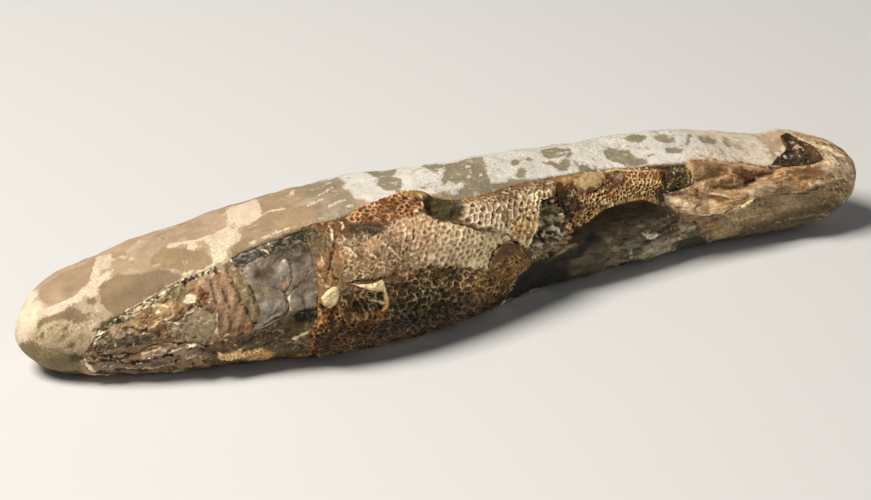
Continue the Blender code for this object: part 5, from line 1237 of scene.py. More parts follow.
veins = [
    line("creamLime", 0, 1.9, (-87.5, 3.8), (-84.5, 5.2), (-80.4, 5.6), (-77.4, 4.4), (-75.4, 1.4),
         (-74.2, -1.4), (-72.6, -4.6)),
    area("creamLime", 0, (-80, 4), (-76.6, 2.6), (-74.8, 2), (-71.4, 1.8), (-72.6, 3.4), (-75.6, 5),
         (-76.4, 7), (-78.6, 6.4)),
    area("creamLime", 0, (-73.8, -4.8), (-70.6, -5), (-70.9, -1.4), (-72.2, 0.6), (-73.6, 0.4)),
    line("creamLime", 0, 0.8, (-69.6, -1.6), (-68.6, 0), (-67.4, 1.4)),
    line("creamLime", 0, 1.3, (-60.2, 1), (-57, 2.1), (-54, 2.4), (-51, 2), (-48.5, 1), (-47, -1),
         (-46, -5.5)),
    area("creamLime", 0, (-58.2, 2.6), (-55.4, 2.8), (-55, 4.4), (-56.8, 4.6)),
    area("creamLime", 0, (-46.8, -1), (-46, -7), (-39.6, -8.5), (-40.2, -3), (-41, 0.4), (-44.6, 1.6),
         (-47, 1.4)),
    area("creamLime", 0, (-53.6, 2.6), (-46.8, 1.8), (-46.6, 4.4), (-48.4, 6.2), (-50.2, 7.2), (-51.2, 9.2),
         (-54, 9.9), (-53.8, 6)),
    line("creamLime", 0, 0.7, (-42, 0), (-39.4, -0.6), (-36.2, -0.3)),
    line("creamLime", 0, 0.9, (-31.8, 1), (-29.4, 0.6), (-28.2, 0)),
    line("creamLime", 0, 0.6, (-33.2, -5), (-32.2, -7.2)),
    line("creamLime", 0, 0.7, (-46, 7.6), (-41.5, 6.7), (-38, 6.4)),
    oval("creamLime", 0, (-59.3, 9.5), (1.1, 0.5)), oval("creamLime", 0, (-59.2, 6.9), (0.5, 0.35)),
    # the speckled brink of the head
    line("creamLime", 0, 0.8, (-71.9, 12.7), (-67.9, 12.1), (-63.4, 11.4), (-59.7, 10.3), (-55, 10),
         (-50.9, 9.3)),
    # scratches on the band before the white rock
    line("creamLime", 0, 0.45, (-29.6, -1.4), (-27.4, -2), (-25.4, -3.4)),
    line("creamLime", 0, 0.4, (-28.4, 3.4), (-26.2, 2.4), (-24.6, 2.4)),
    oval("creamLime", 0, (-24.6, 4.4), (0.9, 0.35)), line("whiteLime", 0, 0.4, (-26.4, -5.4), (-24.8, -6.4)),
    # flecks on the grey band
    area("whiteLime", 0, (3.8, -1.2), (4.6, -2.6), (5.9, -2.4), (5.2, -1)),
    line("whiteLime", 0, 0.5, (2.8, 2.4), (3.8, 0.9), (4.4, -0.4)),
    line("whiteLime", 0, 0.4, (5.4, 3.4), (6.4, 1.4)),
    area("whiteLime", 0, (-3, 3.4), (-1.8, 2.2), (-1.2, 3.8), (-2.2, 4.6)),
    area("whiteLime", 0, (-3.2, 6.4), (-2.4, 5.2), (-1.2, 5.6), (-1.4, 6.9), (-2.8, 7)),
    line("whiteLime", 0, 0.7, (-3.4, 0.6), (-2.2, -1.4), (-1.4, -2.6)),
    oval("whiteLime", 0, (28.4, -1.4), (1, 0.35)),
]
noduleMarks = [
    # washes from end to end of the top
    area("tipLime", 0, (-95, -12), (-87, -12), (-86.6, 0), (-87.4, 5), (-95, 9), soft=0.9),
    area("tanLime", 0, (-46, -14), (-23, -14), (-22.4, -2), (-22.6, 3), (-23, 9), (-47, 9), soft=1.4),
    area("greenLime", 0, (-31, -14), (-21.6, -14), (-22, -6), (-23.8, -2), (-22.4, 0), (-22.8, 3), (-23.2, 8),
         (-31, 8), soft=1.4),
    area("whiteLime", 0, (-21.4, -14), (-22, -5), (-23.4, -2.4), (-22.2, 0.6), (-22.6, 2.4), (-20.8, 3.8),
         (-20, 5), (96, 9), (96, -14), soft=0.15),
    area("paleLime", 0, (58, -9), (96, -9), (96, 9), (74, 8), (62, 7), (55, 6.6), (60, 4), soft=1.6),
    area("duskLime", 0, (-2, 6.2), (7, 5.4), (16, 6.2), (22, 6.8), (4, 8.4), (-3, 8.2), soft=0.6),
    # brink of the head: a rough pale lip with dark specks
    line("creamLime", 0.2, 1, (-71.5, 12.6), (-68, 12.1), (-65, 11.6), (-61, 10.7), (-55, 10.4), (-51, 9.6),
         soft=0.3),
    # the left end below, in a dark brown wash that is partly the rock's colour, partly painted shade of the
    # underside
    area("noseLime", 0, (-90.4, 4), (-87, 6), (-82, 10), (-80, 12), (-78, 13.4), (-80.6, 15.4), (-82.4, 18),
         (-85.6, 15), (-89.6, 9), soft=1.2),
    area("matrixBrownAndShade", 0, (-93, 15), (-88, 14.5), (-84, 18), (-82.4, 22), (-80, 27), (-76, 30), (-66, 34.5),
         (-56, 38), (-36, 43.4), (-8, 41), (6, 38), (6, 60), (-93, 60), soft=1.4),
    # below the break, the stock and the tail; the dark grey and brown washes are partly the rock's colour,
    # partly painted shade of the underside
    area("matrixGreyAndShade", 0, (8, 33), (14, 26), (26, 19), (36, 14), (47, 17), (57, 20), (66, 17), (78, 14.6),
         (96, 7), (96, 60), (6, 60), soft=0.6),
    area("ledgeTan", 0, (82, 8.4), (90, 5.4), (93.6, 4), (94, 8), (88, 11), (83, 11.6), soft=1),
    area("matrixTan", 0, (57, 20.2), (64, 17.8), (70, 15), (78, 14.6), (86, 11.5), (95, 6), (95, 30),
         (60, 28), soft=0.8),
    area("matrixBrownAndShade", 0, (66, 22.5), (78, 19), (92, 14), (95, 60), (60, 60), (60, 30), soft=1.6),
    area("recessBrown", 0, (24, 19), (30, 15.4), (36, 14), (46, 16), (49, 19.2), (46, 20), (40, 20.4),
         (33, 22.4), (27, 24.6), (20, 25.6), (12, 27), (12, 24), soft=0.8),
    # a near-black band below the trunk's end and the crust: partly dark green rock, partly painted shade
    area("darkGreenAndShade", 0, (9.6, 27.6), (13.8, 25.4), (21, 25.6), (25.6, 23.4), (29.6, 20.6), (30.4, 22),
         (24, 26.8), (24, 28.8), (26, 34), (18, 42), (4, 44), (6, 36), soft=1),
    line("matrixTan", 0.1, 0.8, (20, 24.4), (22.4, 23.6), (25, 22.6), soft=0.4),
    line("creviceBrown", 0, 1, (21.2, 27.4), (24.4, 28.6), (27.6, 30), soft=0.8),
    area("boneWhite", 0.25, (41.1, 22.3), (42.6, 23.2), (44.8, 23.4), (45.9, 24.4), (43.8, 24.7),
         (42.4, 24.7), soft=0.15),
    area("matrixPale", 0.1, (43.6, 25.4), (47.4, 24.9), (50.2, 26), (47.4, 27.2), (45, 26.6), soft=0.5),
    area("matrixDim", 0, (42, 26.4), (49, 25.6), (50, 29.6), (49.6, 34), (40, 31), soft=1.2),
    line("matrixBrownAndShade", 0, 0.8, (40, 20.8), (44, 21.2), (48, 22.2), soft=0.5),
    area("matrixGreen", 0.15, (50.2, 22.4), (51.6, 22), (53.2, 23.2), (55, 23.4), (54.4, 24.4), (51.6, 24),
         soft=0.3),
    area("matrixRose", 0.1, (50.6, 20), (57, 20.4), (60.2, 21.8), (60.4, 24.4), (56.6, 24.8), (54.6, 22.4),
         (51, 21.4), soft=0.4),
    line("matrixPale", 0.1, 0.5, (59, 20.8), (60.4, 21.6), (60.8, 22.8), soft=0.3),
    line("rindPale", 0.1, 0.45, (61.2, 20.4), (62.8, 21.2), (64.2, 21), soft=0.25),
    # the ledge over the lower rock, and the slab above it
    area("ledgeTan", 0, (53.8, 6.8), (62, 6.8), (72, 8), (84, 7.4), (93, 3), (95, 8), (86, 12), (78, 14),
         (70, 14.6), (66, 17), (60, 19.4), (56, 20), (51, 19.4), (46.6, 17), (46.4, 14.6), (52, 13.6),
         soft=0.15),
    area("slabTan", 0.05, (54.4, 7.4), (60, 7.8), (64, 8.4), (68, 9.2), (70.6, 9.4), (68, 11), (66, 12.6),
         (62, 12.4), (60.4, 11.2), (54.4, 12.2), soft=0.4),
    area("slabBrown", 0, (60.6, 8.2), (64, 8.4), (68, 9.6), (66.6, 11.4), (63, 12.4), (61, 11.2), soft=0.8),
    area("ledgeCream", 0.15, (46.9, 14.2), (50, 15.2), (53.4, 17.2), (55.6, 18.8), (57.4, 19.6), (53, 19.4),
         (50.4, 18.2), (48.2, 16.6), (47, 15.8), soft=0.3),
    area("ledgeCream", 0.05, (56, 16.8), (60, 17.2), (61.6, 18), (59, 19.2), (56.6, 19.2), soft=0.5),
    area("rindPale", 0.15, (66, 14.4), (68, 13.2), (70, 12.2), (73.6, 11.4), (74.2, 12.8), (70, 13.6),
         (67.4, 14.8), soft=0.3),
    area("slabTan", 0.05, (72.4, 10.4), (78.4, 10.4), (86, 9.4), (86, 12.2), (79, 13.8), (73.4, 14),
         soft=0.5),
    line("rindPale", 0.1, 0.5, (80.6, 11.8), (84.6, 11.4), (87.1, 9.7), soft=0.3),
    line("slabBrown", -0.1, 0.6, (54.9, 15.8), (54.2, 15), (54.7, 13.8), soft=0.3),
    line("slabBrown", -0.1, 0.45, (57.2, 15.8), (59.4, 16.2), (62.6, 16.6), soft=0.3),
    line("slabBrown", -0.05, 0.5, (48, 14.2), (51, 14.4), (54, 13.8), soft=0.3),
    line("slabBrown", -0.1, 0.5, (50.6, 18.9), (53.6, 19.9), (57, 20.1), (60, 19.6), soft=0.3),
    line("creviceBrown", 0, 1.1, (59.6, 13.6), (62, 14), (65, 13.4), (67.6, 12), (70, 10.7), (73, 9.8),
         soft=0.4),
    line("creviceBrown", 0, 0.35, (54.2, 12.3), (57, 11.6), (60.4, 11)),
    line("slabBrown", -0.1, 0.3, (54.4, 7.5), (60, 7.3), (66, 7.8), (72, 8.4)),
    line("slabBrown", -0.1, 0.8, (66.6, 11.4), (69.6, 9.8), (73, 9.2), soft=0.4),
    oval("mossLime", 0.1, (61, 12.2), (0.9, 0.8)),
    line("rust", -0.2, 0.35, (72.6, 7.9), (75, 8.2), (77.2, 8.3), (80.2, 8), (83, 7.4)),
    area("rind", 0.1, (82, 1), (84.6, 2.2), (88, 3), (92, 0.4), (92.6, 3), (88, 5.6), (84.8, 5.4), (83, 3.2),
         soft=0.6),
    area("slabBrown", 0, (83, 3.4), (85.4, 4.4), (88, 5), (86.4, 6.4), (83.2, 7.4), soft=0.6),
    line("rindPale", 0.1, 0.4, (84, 5.4), (86.2, 5.6), (88.4, 5), soft=0.2),
    area("rindPale", 0.05, (84.4, 5.2), (88, 5.6), (91, 3.6), (91, 5), (87.6, 7.2), (84.4, 6.8), soft=0.4),
    line("rindPale", 0.1, 0.6, (77.6, -6), (77, -2), (75.4, 1.6), (74, 4.6), soft=0.5),
    area("rind", 0, (81.6, -2), (84, -4.4), (88, -4), (91.6, -1), (92, 2), (88, 4), (84.6, 3), (83.2, 0.4),
         soft=1),
    line("rindPale", 0.1, 0.7, (82.4, -4.6), (86, -4.4), (89.6, -2.4), (91.6, 0.6), soft=0.5),
    line("slabBrown", -0.1, 0.5, (84.6, 0.6), (87, 0.4), (90, -0.6), soft=0.4),
    area("slabBrown", 0, (73.4, 10.7), (75, 9.2), (84, 8.6), (84, 11), (78.4, 12.6), soft=0.5),
    line("slabBrown", -0.08, 0.4, (76, 9.4), (80, 9.2), (85, 8.6), (90, 6.2), soft=0.25),
    line("slabBrown", -0.08, 0.35, (78, 11.8), (83, 11.2), (88, 9), soft=0.25),
    area("ledgeCream", 0, (84, 7.6), (90.6, 5.2), (92.6, 6.4), (88, 10.2), (84, 10.6), soft=1.2),
    # a dark line just under the ledge's edge: painted shadow
    line("softCrack", -0.2, 0.4, (70.6, 15.2), (74, 14.6), (79, 14.5), (82.4, 13.7), soft=0.25),
]


# Where the rock is peppered with pale and dark grains, and how strongly
speckledPlaces = [
    line("", 1, 1.9, (-73, 12.9), (-71, 12.3), (-65, 11.3), (-61, 10.6), (-54, 10.2), (-50, 9.2), soft=0.4),
    line("", 0.8, 1, (-50, 9.2), (-46, 8), (-41, 7.2), (-36, 6.6), (-24, 5.8), (-16, 3.6), soft=0.4),
    area("", 0.9, (-91, 5), (-88, 6), (-84, 8), (-79, 9), (-76, 13), (-80, 17), (-86, 17), (-90, 12), soft=1),
    line("", 0.6, 2.4, (-86, 4.6), (-80.4, 5.6), (-77.4, 4.4), (-75.4, 1.4), (-73, -4), soft=0.6),
    area("", 0.7, (-54, 3.4), (-47, 2.4), (-46.6, 4.4), (-50.2, 7.2), (-51.2, 9.2), (-54, 9.9), soft=0.3),
    area("", 0.6, (-10, -4), (8, -4), (8, 7), (-8, 7), soft=1.5),
    area("", 0.5, (8, -8), (60, -8), (60, 2), (20, 4), (8, 5), soft=2),
    area("", 0.5, (54, 4.6), (60, 3.6), (70, 4.4), (78, 4), (80, 7.4), (70, 8), (56, 7.4), soft=1.2),
    line("", 0.7, 1.4, (20, 6.2), (30, 5.8), (37, 6), (46, 7.2), (54, 7.4), soft=0.5),
    area("", 0.9, (58, 20.5), (66, 17.6), (78, 15.2), (90, 10.5), (95, 8), (95, 32), (58, 32), soft=1),
    area("", 0.9, (80, -4), (88, -6), (94, -4), (94, 8), (86, 8), (83, 4), (81, 0), soft=1.2),
    area("", 0.8, (74, 7.2), (84, 7.2), (92, 5), (92, 9), (84, 12), (72, 12), soft=1),
    area("", 0.5, (46, 13), (66, 13), (66, 18), (58, 20), (48, 18), soft=1),
    area("", 0.9, (30, 20), (60, 21), (64, 30), (50, 36), (26, 36), soft=2),
]


def rockRelief(x, s, y, z):
    # Lumps, the lip over the head, the hollow below the stock, and the ledge, cracks and rim of the tail
    lumps = 0.20 * np.sin(0.21 * x + 1.3) * np.sin(0.30 * z + 0.25 * y)
    lumps += 0.09 * np.sin(0.47 * x + 0.36 * y - 0.2 * z + 2.0)
    lumps += 0.05 * np.sin(0.9 * x - 0.7 * y + 0.8 * z)
    crest, ledge, edge = readLine(crestLine, x), readLine(ledgeLine, x), readLine(seams["stockEdge"], x)
    lip = ramp(x, -83, -76) * (1 - ramp(x, -52, -30)) + 0.35 * ramp(x, -45, -30) * (1 - ramp(x, 45, 55))
    height = lumps + 0.4 * lip * np.exp(-((crest - s) / 1.8)**2)
    under = ramp(x, 17, 27) * (1 - ramp(x, 42, 51)) * ramp(s, edge - 3, edge)
    height -= 3.1 * under * np.exp(-(np.maximum(s - edge, 0) / 5.0)**2)
    height -= 1.8 * bell(x, s, 16, 30, 8, 5)
    tail = ramp(x, 45, 49) * (1 - ramp(x, 84, 91))
    height += tail * 0.9 * ramp(s, ledge - 5, ledge - 1) * (1 - ramp(s, ledge - 0.4, ledge + 0.4))
    height -= tail * 0.7 * ramp(s, ledge - 0.4, ledge + 0.4) * (1 - ramp(s, ledge + 2, ledge + 8))
    slab = ramp(x, 53, 56) * (1 - ramp(x, 70, 75)) * ramp(s, 6.5, 8.0)
    height += 0.15 * slab * (1 - ramp(s, 10.5, 12.5))
    height -= 1.5 * np.exp(-(distanceTo(creviceLine, x, s) / 1.1)**2)
    height -= 0.7 * np.exp(-(distanceTo(grooveLine, x, s) / 0.9)**2)
    height += 1.1 * bell(x, s, 80, -4, 2.6, 3.5) - 0.5 * bell(x, s, 86, -2, 3.2, 5)
    return height + 0.4 * bell(x, s, 54, 29, 3.2, 3.2)


def fishOutline():
    # The fish's edge on the stone, all round
    names = ("crestHead", "crestGill", "crestTrunk", "crestStock", "stockRear")
    ring = [evenLine(seams[name], 24) for name in names]
    ring += [evenLine(seams["stockEdge"][::-1], 16), evenLine(seams["crustBottom"][:0:-1], 14)[:-3]]
    ring += [evenLine(seams["trunkEnd"][9:], 10), evenLine(seams["bellyTrunk"][::-1], 20)]
    ring += [evenLine(seams["bellyJaw"][::-1], 30)]
    return [tuple(p) for p in np.concatenate(ring)]


def ringPlaces():
    # x of each ring: closing up round each tip as on a quarter circle, even between, finer over the tail
    (left, right), (capLeft, capRight) = stone["tips"], stone["caps"]
    step, tailStep, tailFrom = stone["step"], stone["tailStep"], stone["tailFrom"]
    turn = np.linspace(0, np.pi / 2, round(capLeft * np.pi / 2 / step) + 1)[1:]
    start = left + capLeft * (1 - np.cos(turn))
    body = np.arange(start[-1], tailFrom, step)[1:]
    tail = np.arange(body[-1], right - capRight, tailStep)[1:]
    turn = np.linspace(np.pi / 2, 0, round(capRight * np.pi / 2 / tailStep) + 1)[:-1]
    end = right - capRight * (1 - np.cos(turn))
    return np.concatenate([start, body, tail, end])


def pointPlaces(x):
    # s of each point of the rings: close over the top and the tail's flank, wide under the fish
    y, z, walked = walkRings(x)
    girth = walked[:, -1]
    share = np.linspace(-1, 1, 401)[None, :]
    s = share * girth[:, None]
    crest, tail = readLine(crestLine, x)[:, None], ramp(x, 42, 52)[:, None]
    belly = readLine([(-93, 18), (-80, 26), (-64, 34), (-35, 42), (0, 38), (14, 27), (25, 20), (45, 17),
                      (93, 12)], x)[:, None]
    density = 1.0 + 1.6 * ramp(s, -17, -12) * (1 - ramp(s, 24, 30))
    density = density + 6.0 * tail * ramp(s, 3, 5) * (1 - ramp(s, 20, 24))
    hidden = ramp(s, crest + 0.6, crest + 2.5) * (1 - ramp(s, belly - 2.5, belly - 0.6)) * (1 - tail)
    beneath = ramp(s, belly - 1, belly) * (1 - ramp(s, belly + 9, belly + 12))
    density = density * (1 - 0.78 * hidden) + 0.8 * (1 - tail) * beneath
    total = np.cumsum(density, axis=1)
    total = (total - total[:, :1]) / (total[:, -1:] - total[:, :1])
    wanted = np.arange(stone["rows"])[None, :] / stone["rows"]
    lane = 2.0 * np.arange(len(x))[:, None]
    places = np.interp((wanted + lane).ravel(), (total + lane).ravel(), s.ravel())
    return places.reshape(len(x), stone["rows"]), (y, z, walked)


def nearestPatch(marks, plain, x, s):
    # How far inside the nearest patch each place is, and that patch's colour
    edge, colour = np.full(len(x), -9.0), np.zeros((len(x), 3)) + linear(finishes[plain][0])
    for mark in marks:
        reach = reachOf(mark, x, s)
        colour[reach > edge] = linear(finishes[mark["finish"]][0])
        edge = np.maximum(edge, reach)
    return edge, colour


def howRaw(x, s):
    # 1 where the rock is broken and splintery, along the tail and below the fish, 0 where it is worn smooth
    ledge = readLine(ledgeLine, x)
    raw = np.maximum(ramp(x, 44, 50) * ramp(s, 7.4, 10), ramp(s, 14, 20))
    raw = np.maximum(raw, 0.9 * ramp(x, 80, 84) * ramp(s, -3, 1))
    return raw * (1 - 0.55 * ramp(x, 57, 62) * ramp(s, ledge, ledge + 1.5))


def breakRock(coat, places, splinters, raw):
    # Lumps everywhere, and splinters and creases where the rock is raw
    for size, height, seed in ((6.0, 0.12, 1), (3.2, 0.10, 2), (1.5, 0.07, 3), (0.75, 0.05, 4)):
        coat["height"] += height * (1 + 1.6 * raw) * grain(places, size, seed)
    coat["height"] += 0.34 * raw * grain(splinters, 1.3, 5) + 0.2 * raw * grain(splinters, 0.6, 6)
    for size, depth, seed in ((2.6, 0.4, 24), (1.2, 0.25, 25)):
        crease = ramp(0.16 - np.abs(grain(splinters, size, seed)), 0, 0.16)
        crease = crease * ramp(grain(places, 3 * size, seed + 3), -0.4, 0.3)
        coat["height"] -= depth * raw * crease
        darken(coat, 0.45 * raw * crease)


def dressTail(coat, places, splinters, raw):
    # The rock below the stock, the ledge and its fibres, and the crust and rim of the tail's end
    x, s = coat["x"], coat["s"]
    below = ramp(x, 31, 36) * (1 - ramp(x, 50, 58)) * ramp(s, 19, 23)
    below = below * (1 - np.clip(1.4 * bell(x, s, 45, 25, 5, 2.2), 0, 1))
    layPatches(coat, 0.5 * below, "matrixPale", 1.5, 41, 0.1, 0.6, 0.15, splinters, 4)
    layPatches(coat, 0.65 * below, "recessBrown", 1.3, 42, 0.0, 0.5, -0.2, splinters, 4)
    layGlints(coat, 0.8 * below, "matrixGreen", 0.8, 45, 0.4)
    top = ramp(x, 56, 66) * ramp(s, -4, 1) * (1 - ramp(s, 6.5, 8))
    layPatches(coat, 0.55 * top, "matrixTan", 2.4, 27, 0.15, 0.7, places=places)
    layPatches(coat, 0.5 * top, "lightTaupe", 1.5, 28, 0.3, 0.8, places=places)
    ledge = readLine(ledgeLine, x)
    flank = raw * ramp(s, 6, 9) * ramp(x, 44, 50) * (1 - 0.85 * bell(x, s, 51, 17, 5, 2.4))
    streaked = flank * (1 - ramp(s, ledge - 0.6, ledge + 0.2)) * (1 - ramp(x, 80, 86))
    slant = -0.22
    layThreads(coat, 0.6 * flank, "slabBrown", 1.5, 15, -0.3, (3.0, 1.0), 7, slant)
    layThreads(coat, 0.6 * flank, "rindPale", 1.2, 17, 0.2, (2.6, 1.0), 11, slant)
    layThreads(coat, 0.5 * flank, "slabBrown", 0.7, 16, -0.15, (2.0, 1.0), 8, slant)
    layThreads(coat, 0.7 * streaked, "rind", 2.2, 29, 0.1, (3.0, 1.0), 5, slant)
    layGlints(coat, 0.7 * flank, "ledgeCream", 0.6, 18, 0.5)
    layGlints(coat, 0.5 * flank, "creviceBrown", 0.55, 20, 0.55)
    darken(coat, 0.2 * ramp(x, 66, 72) * ramp(s, 15, 17) + 0.16 * bell(x, s, 78, 11.5, 4, 1))
    end = ramp(x, 82, 87) * ramp(s, -6, -2)
    beside = bell(x, s, 87.5, 0, 4.5, 4.5)
    layPatches(coat, 0.9 * beside, "rindPale", 1.6, 43, -0.1, 0.4, 0.1, splinters)
    layPatches(coat, 0.7 * beside, "slabBrown", 1.2, 44, 0.2, 0.6, -0.1, splinters)
    layGlints(coat, 0.8 * end, "slabBrown", 0.8, 30, 0.2)
    layGlints(coat, 0.9 * end, "boneCream", 0.7, 31, 0.35)
    layGlints(coat, 0.8 * end, "softCrack", 0.5, 32, 0.4)
    brink = ramp(x, 53, 57) * (1 - ramp(x, 74, 78)) * np.exp(-((s - 6.7) / 0.9)**2)
    layGlints(coat, brink, "whiteLime", 0.8, 33, 0.0)
    layGlints(coat, 0.9 * brink, "boneWhite", 0.6, 40, 0.2)
    layGlints(coat, 0.8 * brink, "slabBrown", 0.7, 34, 0.2)


def dressNose(coat):
    x, s = coat["x"], coat["s"]
    nose, beneath = bell(x, s, -85, 11, 6, 6), bell(x, s, -87, 16.5, 5, 5)
    layGlints(coat, 0.8 * beneath, "rind", 1.0, 59, 0.1)
    layGlints(coat, 0.9 * beneath, "mossLime", 0.9, 61, 0.2)
    layGlints(coat, 0.8 * nose, "brownLime", 0.8, 52, 0.35)
    layGlints(coat, 0.8 * nose, "creamLime", 0.9, 53, 0.3)


def dressTop(coat, places, splinters, raw):
    # Smears of darker and paler rock over the worn top, the whole stone's clouds, and the white rock
    x, s = coat["x"], coat["s"]
    plain = (1 - raw) * (1 - ramp(x, -25, -20))
    layPatches(coat, 0.35 * plain, "brownLime", 3.6, 46, 0.1, 0.8, places=places)
    layPatches(coat, 0.3 * plain, "creamLime", 2.4, 47, 0.3, 0.9, places=places)
    layGlints(coat, 0.5 * plain, "brownLime", 0.8, 50, 0.45)
    layGlints(coat, 0.5 * plain, "whiteLime", 0.6, 51, 0.6)
    shade = 1 + (0.08 + 0.22 * raw) * broken(splinters, 2.2, 3, 7)
    shade += (0.07 + 0.04 * raw) * broken(places, 2.5, 3, 9) + 0.05 * grain(places, 0.7, 23)
    coat["colour"] *= np.clip(shade, 0.3, 1.6)[:, None]
    coat["colour"] *= 1 + broken(places, 7.0, 3, 19)[:, None] * np.array([0.02, 0.0, -0.035])
    white = ramp(x, -23, -20) * (1 - ramp(s, 6.2, 7.2)) * ramp(s, -30, -24)
    here = 0.8 * white * ramp(grain(places, 5.0, 35), -0.3, 0.4)
    layThreads(coat, here, "greyTaupe", 3.0, 36, -0.06, (1.8, 1.0), 45, 0.3)
    layGlints(coat, 0.8 * white, "greyTaupe", 0.9, 37, 0.35)
    layPatches(coat, 0.45 * white, "paleLime", 2.0, 49, 0.25, 0.9, places=places)
    coat["height"] += white * (0.06 * grain(places, 1.1, 38) + 0.05 * grain(places, 2.4, 39))


def stainRock(coat, places):
    # The stains and veins the material draws with crisp edges: how far inside each place is, and the colours
    x, s = coat["x"], coat["s"]
    stainEdge, stainColour = nearestPatch(stains, "greyTaupe", x, s)
    veinEdge, veinColour = nearestPatch(veins, "creamLime", x, s)
    # Behind and below, where nothing is listed, patches come from noise
    away = np.maximum(ramp(-s, 6, 9), ramp(s, 30, 36))
    outside = 9 * (1 - away)
    stainEdge = np.maximum(stainEdge, away * 3.0 * (broken(places, 9.0, 2, 11) - 0.38) - outside)
    veinEdge = np.maximum(veinEdge, away * 2.2 * (0.16 - np.abs(grain(places, 13.0, 12))) - outside)
    grey, tan, white = (linear(finishes[name][0]) for name in ("greyTaupe", "lightTaupe", "whiteLime"))
    quiet = grey + (1 - ramp(x, -30, -10))[:, None] * (tan - grey)
    stainColour += away[:, None] * (quiet - stainColour)
    stainColour *= (1 + 0.18 * broken(places, 3.0, 3, 21))[:, None]
    flecked = 0.6 * ramp(grain(places, 0.8, 48), 0.5, 0.75) * ramp(x, -23, -20) * (1 - ramp(s, 8, 10))
    stainColour += flecked[:, None] * (white - stainColour)
    veinColour *= (1 + 0.10 * broken(places, 2.0, 3, 22))[:, None]
    coat["height"] -= 0.10 * ramp(stainEdge, -0.2, 0.2) - 0.05 * ramp(veinEdge, -0.15, 0.15)
    # Lighter and darker places; the darkening under the nose at (-85, 17.5) is painted shade
    lightPlaces([coat["colour"], stainColour, veinColour], x, s, (-85, 17.5, 4, 3.5, -0.28),
                (-83, 8, 2.5, 1.6, -0.2), (-66, -2, 9, 3.5, -0.16), (46, 28, 5, 4, -0.3),
                (56, 22, 3, 1.8, 0.4), (70, 18.5, 6, 3, 0.35), (-64, 10.6, 4, 1.0, -0.2))
    return {"stain": stainColour, "vein": veinColour, "stainEdge": stainEdge, "veinEdge": veinEdge}


def howSpeckled(coat):
    speckled = np.full(len(coat["x"]), 0.1)
    for mark in speckledPlaces:
        inside = ramp(reachOf(mark, coat["bentX"], coat["bentS"]), -mark["soft"], mark["soft"])
        speckled = np.maximum(speckled, mark["rise"] * inside)
    return speckled


def makeNodule():
    ringX = ringPlaces()
    ringS, rings = pointPlaces(ringX)
    count = stone["rows"]
    x, s = np.repeat(ringX, count), ringS.ravel()
    y, z = readRings(rings, np.repeat(np.arange(len(ringX)), count), s)
    places, splinters = (x, y, z), (0.3 * x, y + 0.25 * x, z + 0.16 * x)
    coat, raw = newCoat(x, s, "sandLime", rockRelief(x, s, y, z), 0.35), howRaw(x, s)
    drawMarks(coat, noduleMarks)
    breakRock(coat, places, splinters, raw)
    dressTail(coat, places, splinters, raw)
    dressNose(coat)
    dressTop(coat, places, splinters, raw)
    patches = stainRock(coat, places)
    # The hollow the fish lies in, where neither stain nor vein is drawn
    inBed = depthInside(fishOutline(), x, s)
    coat["height"] -= (stone["bed"] + coat["height"]) * ramp(inBed, 0.1, 0.6)
    # the floor of the hollow is dark brown: painted shade where it shows between the pieces
    lay(coat, ramp(inBed, 0.7, 1.2), "bed")
    for key in ("stainEdge", "veinEdge"):
        patches[key] = np.where(inBed > 0.3, -9, patches[key])
    # The points: each ring moved out along the stone's normal, and cut off at the ground
    bare = np.stack(places, axis=-1).reshape(len(ringX), count, 3)
    along, down = np.gradient(bare, axis=0), np.roll(bare, -1, axis=1) - np.roll(bare, 1, axis=1)
    normal = np.cross(down, along).reshape(-1, 3)
    normal /= np.linalg.norm(normal, axis=1)[:, None] + 1e-12
    points = bare.reshape(-1, 3) + normal * (coat["height"] * endRounding(x))[:, None]
    points[:, 2] = np.maximum(points[:, 2], 0)
    tips = np.array(stone["tips"])
    tips = np.stack([tips, *section(tips, np.zeros(2))], axis=-1)
    number = np.arange(len(x)).reshape(len(ringX), count)
    after = np.roll(number, -1, axis=1)
    faces = np.stack([number[:-1], after[:-1], after[1:], number[1:]], axis=-1).reshape(-1, 4).tolist()
    faces += [(len(x), int(k), int(j)) for j, k in zip(number[0], after[0])]
    faces += [(len(x) + 1, int(j), int(k)) for j, k in zip(number[-1], after[-1])]
    attributes = {"ground": coat["colour"], "raw": raw, "speckled": howSpeckled(coat), **patches,
                  "softness": 0.16 + 0.06 * (1 - ramp(x, -50, -40))}
    attributes = {key: np.concatenate([value, value[[0, -1]]]) for key, value in attributes.items()}
    return finishMesh("noduleRock", np.concatenate([points, tips]), faces, attributes)


# Materials

def addNode(tree, kind, inputs=None, **settings):
    # One node with its settings; each input is a value or the output it is linked to
    node = tree.nodes.new("ShaderNode" + kind)
    for key, value in settings.items():
        setattr(node, key, value)
    for key, value in (inputs or {}).items():
        if isinstance(value, bpy.types.NodeSocket):
            tree.links.new(value, node.inputs[key])
        else:
            node.inputs[key].default_value = value
    return node


def newMaterial(name):
    material = bpy.data.materials.new(name)
    material.use_nodes = True
    tree = material.node_tree
    return material, tree, tree.nodes["Principled BSDF"]


def noise(tree, places, size, detail, roughness):
    # Noise with lumps of size mm on Object coordinates, which are in metres
    return addNode(tree, "TexNoise", {"Vector": places, "Scale": 1 / (size * metre), "Detail": detail,
                                      "Roughness": roughness}).outputs["Fac"]


def reading(tree, name, output="Fac"):
    return addNode(tree, "Attribute", attribute_name=name).outputs[output]


def remap(tree, value, low, high, toLow=0.0, toHigh=1.0, **settings):
    return addNode(tree, "MapRange", {"Value": value, "From Min": low, "From Max": high, "To Min": toLow,
                                      "To Max": toHigh}, **settings).outputs[0]


def calculate(tree, operation, *values, **settings):
    return addNode(tree, "Math", dict(enumerate(values)), operation=operation, **settings).outputs[0]


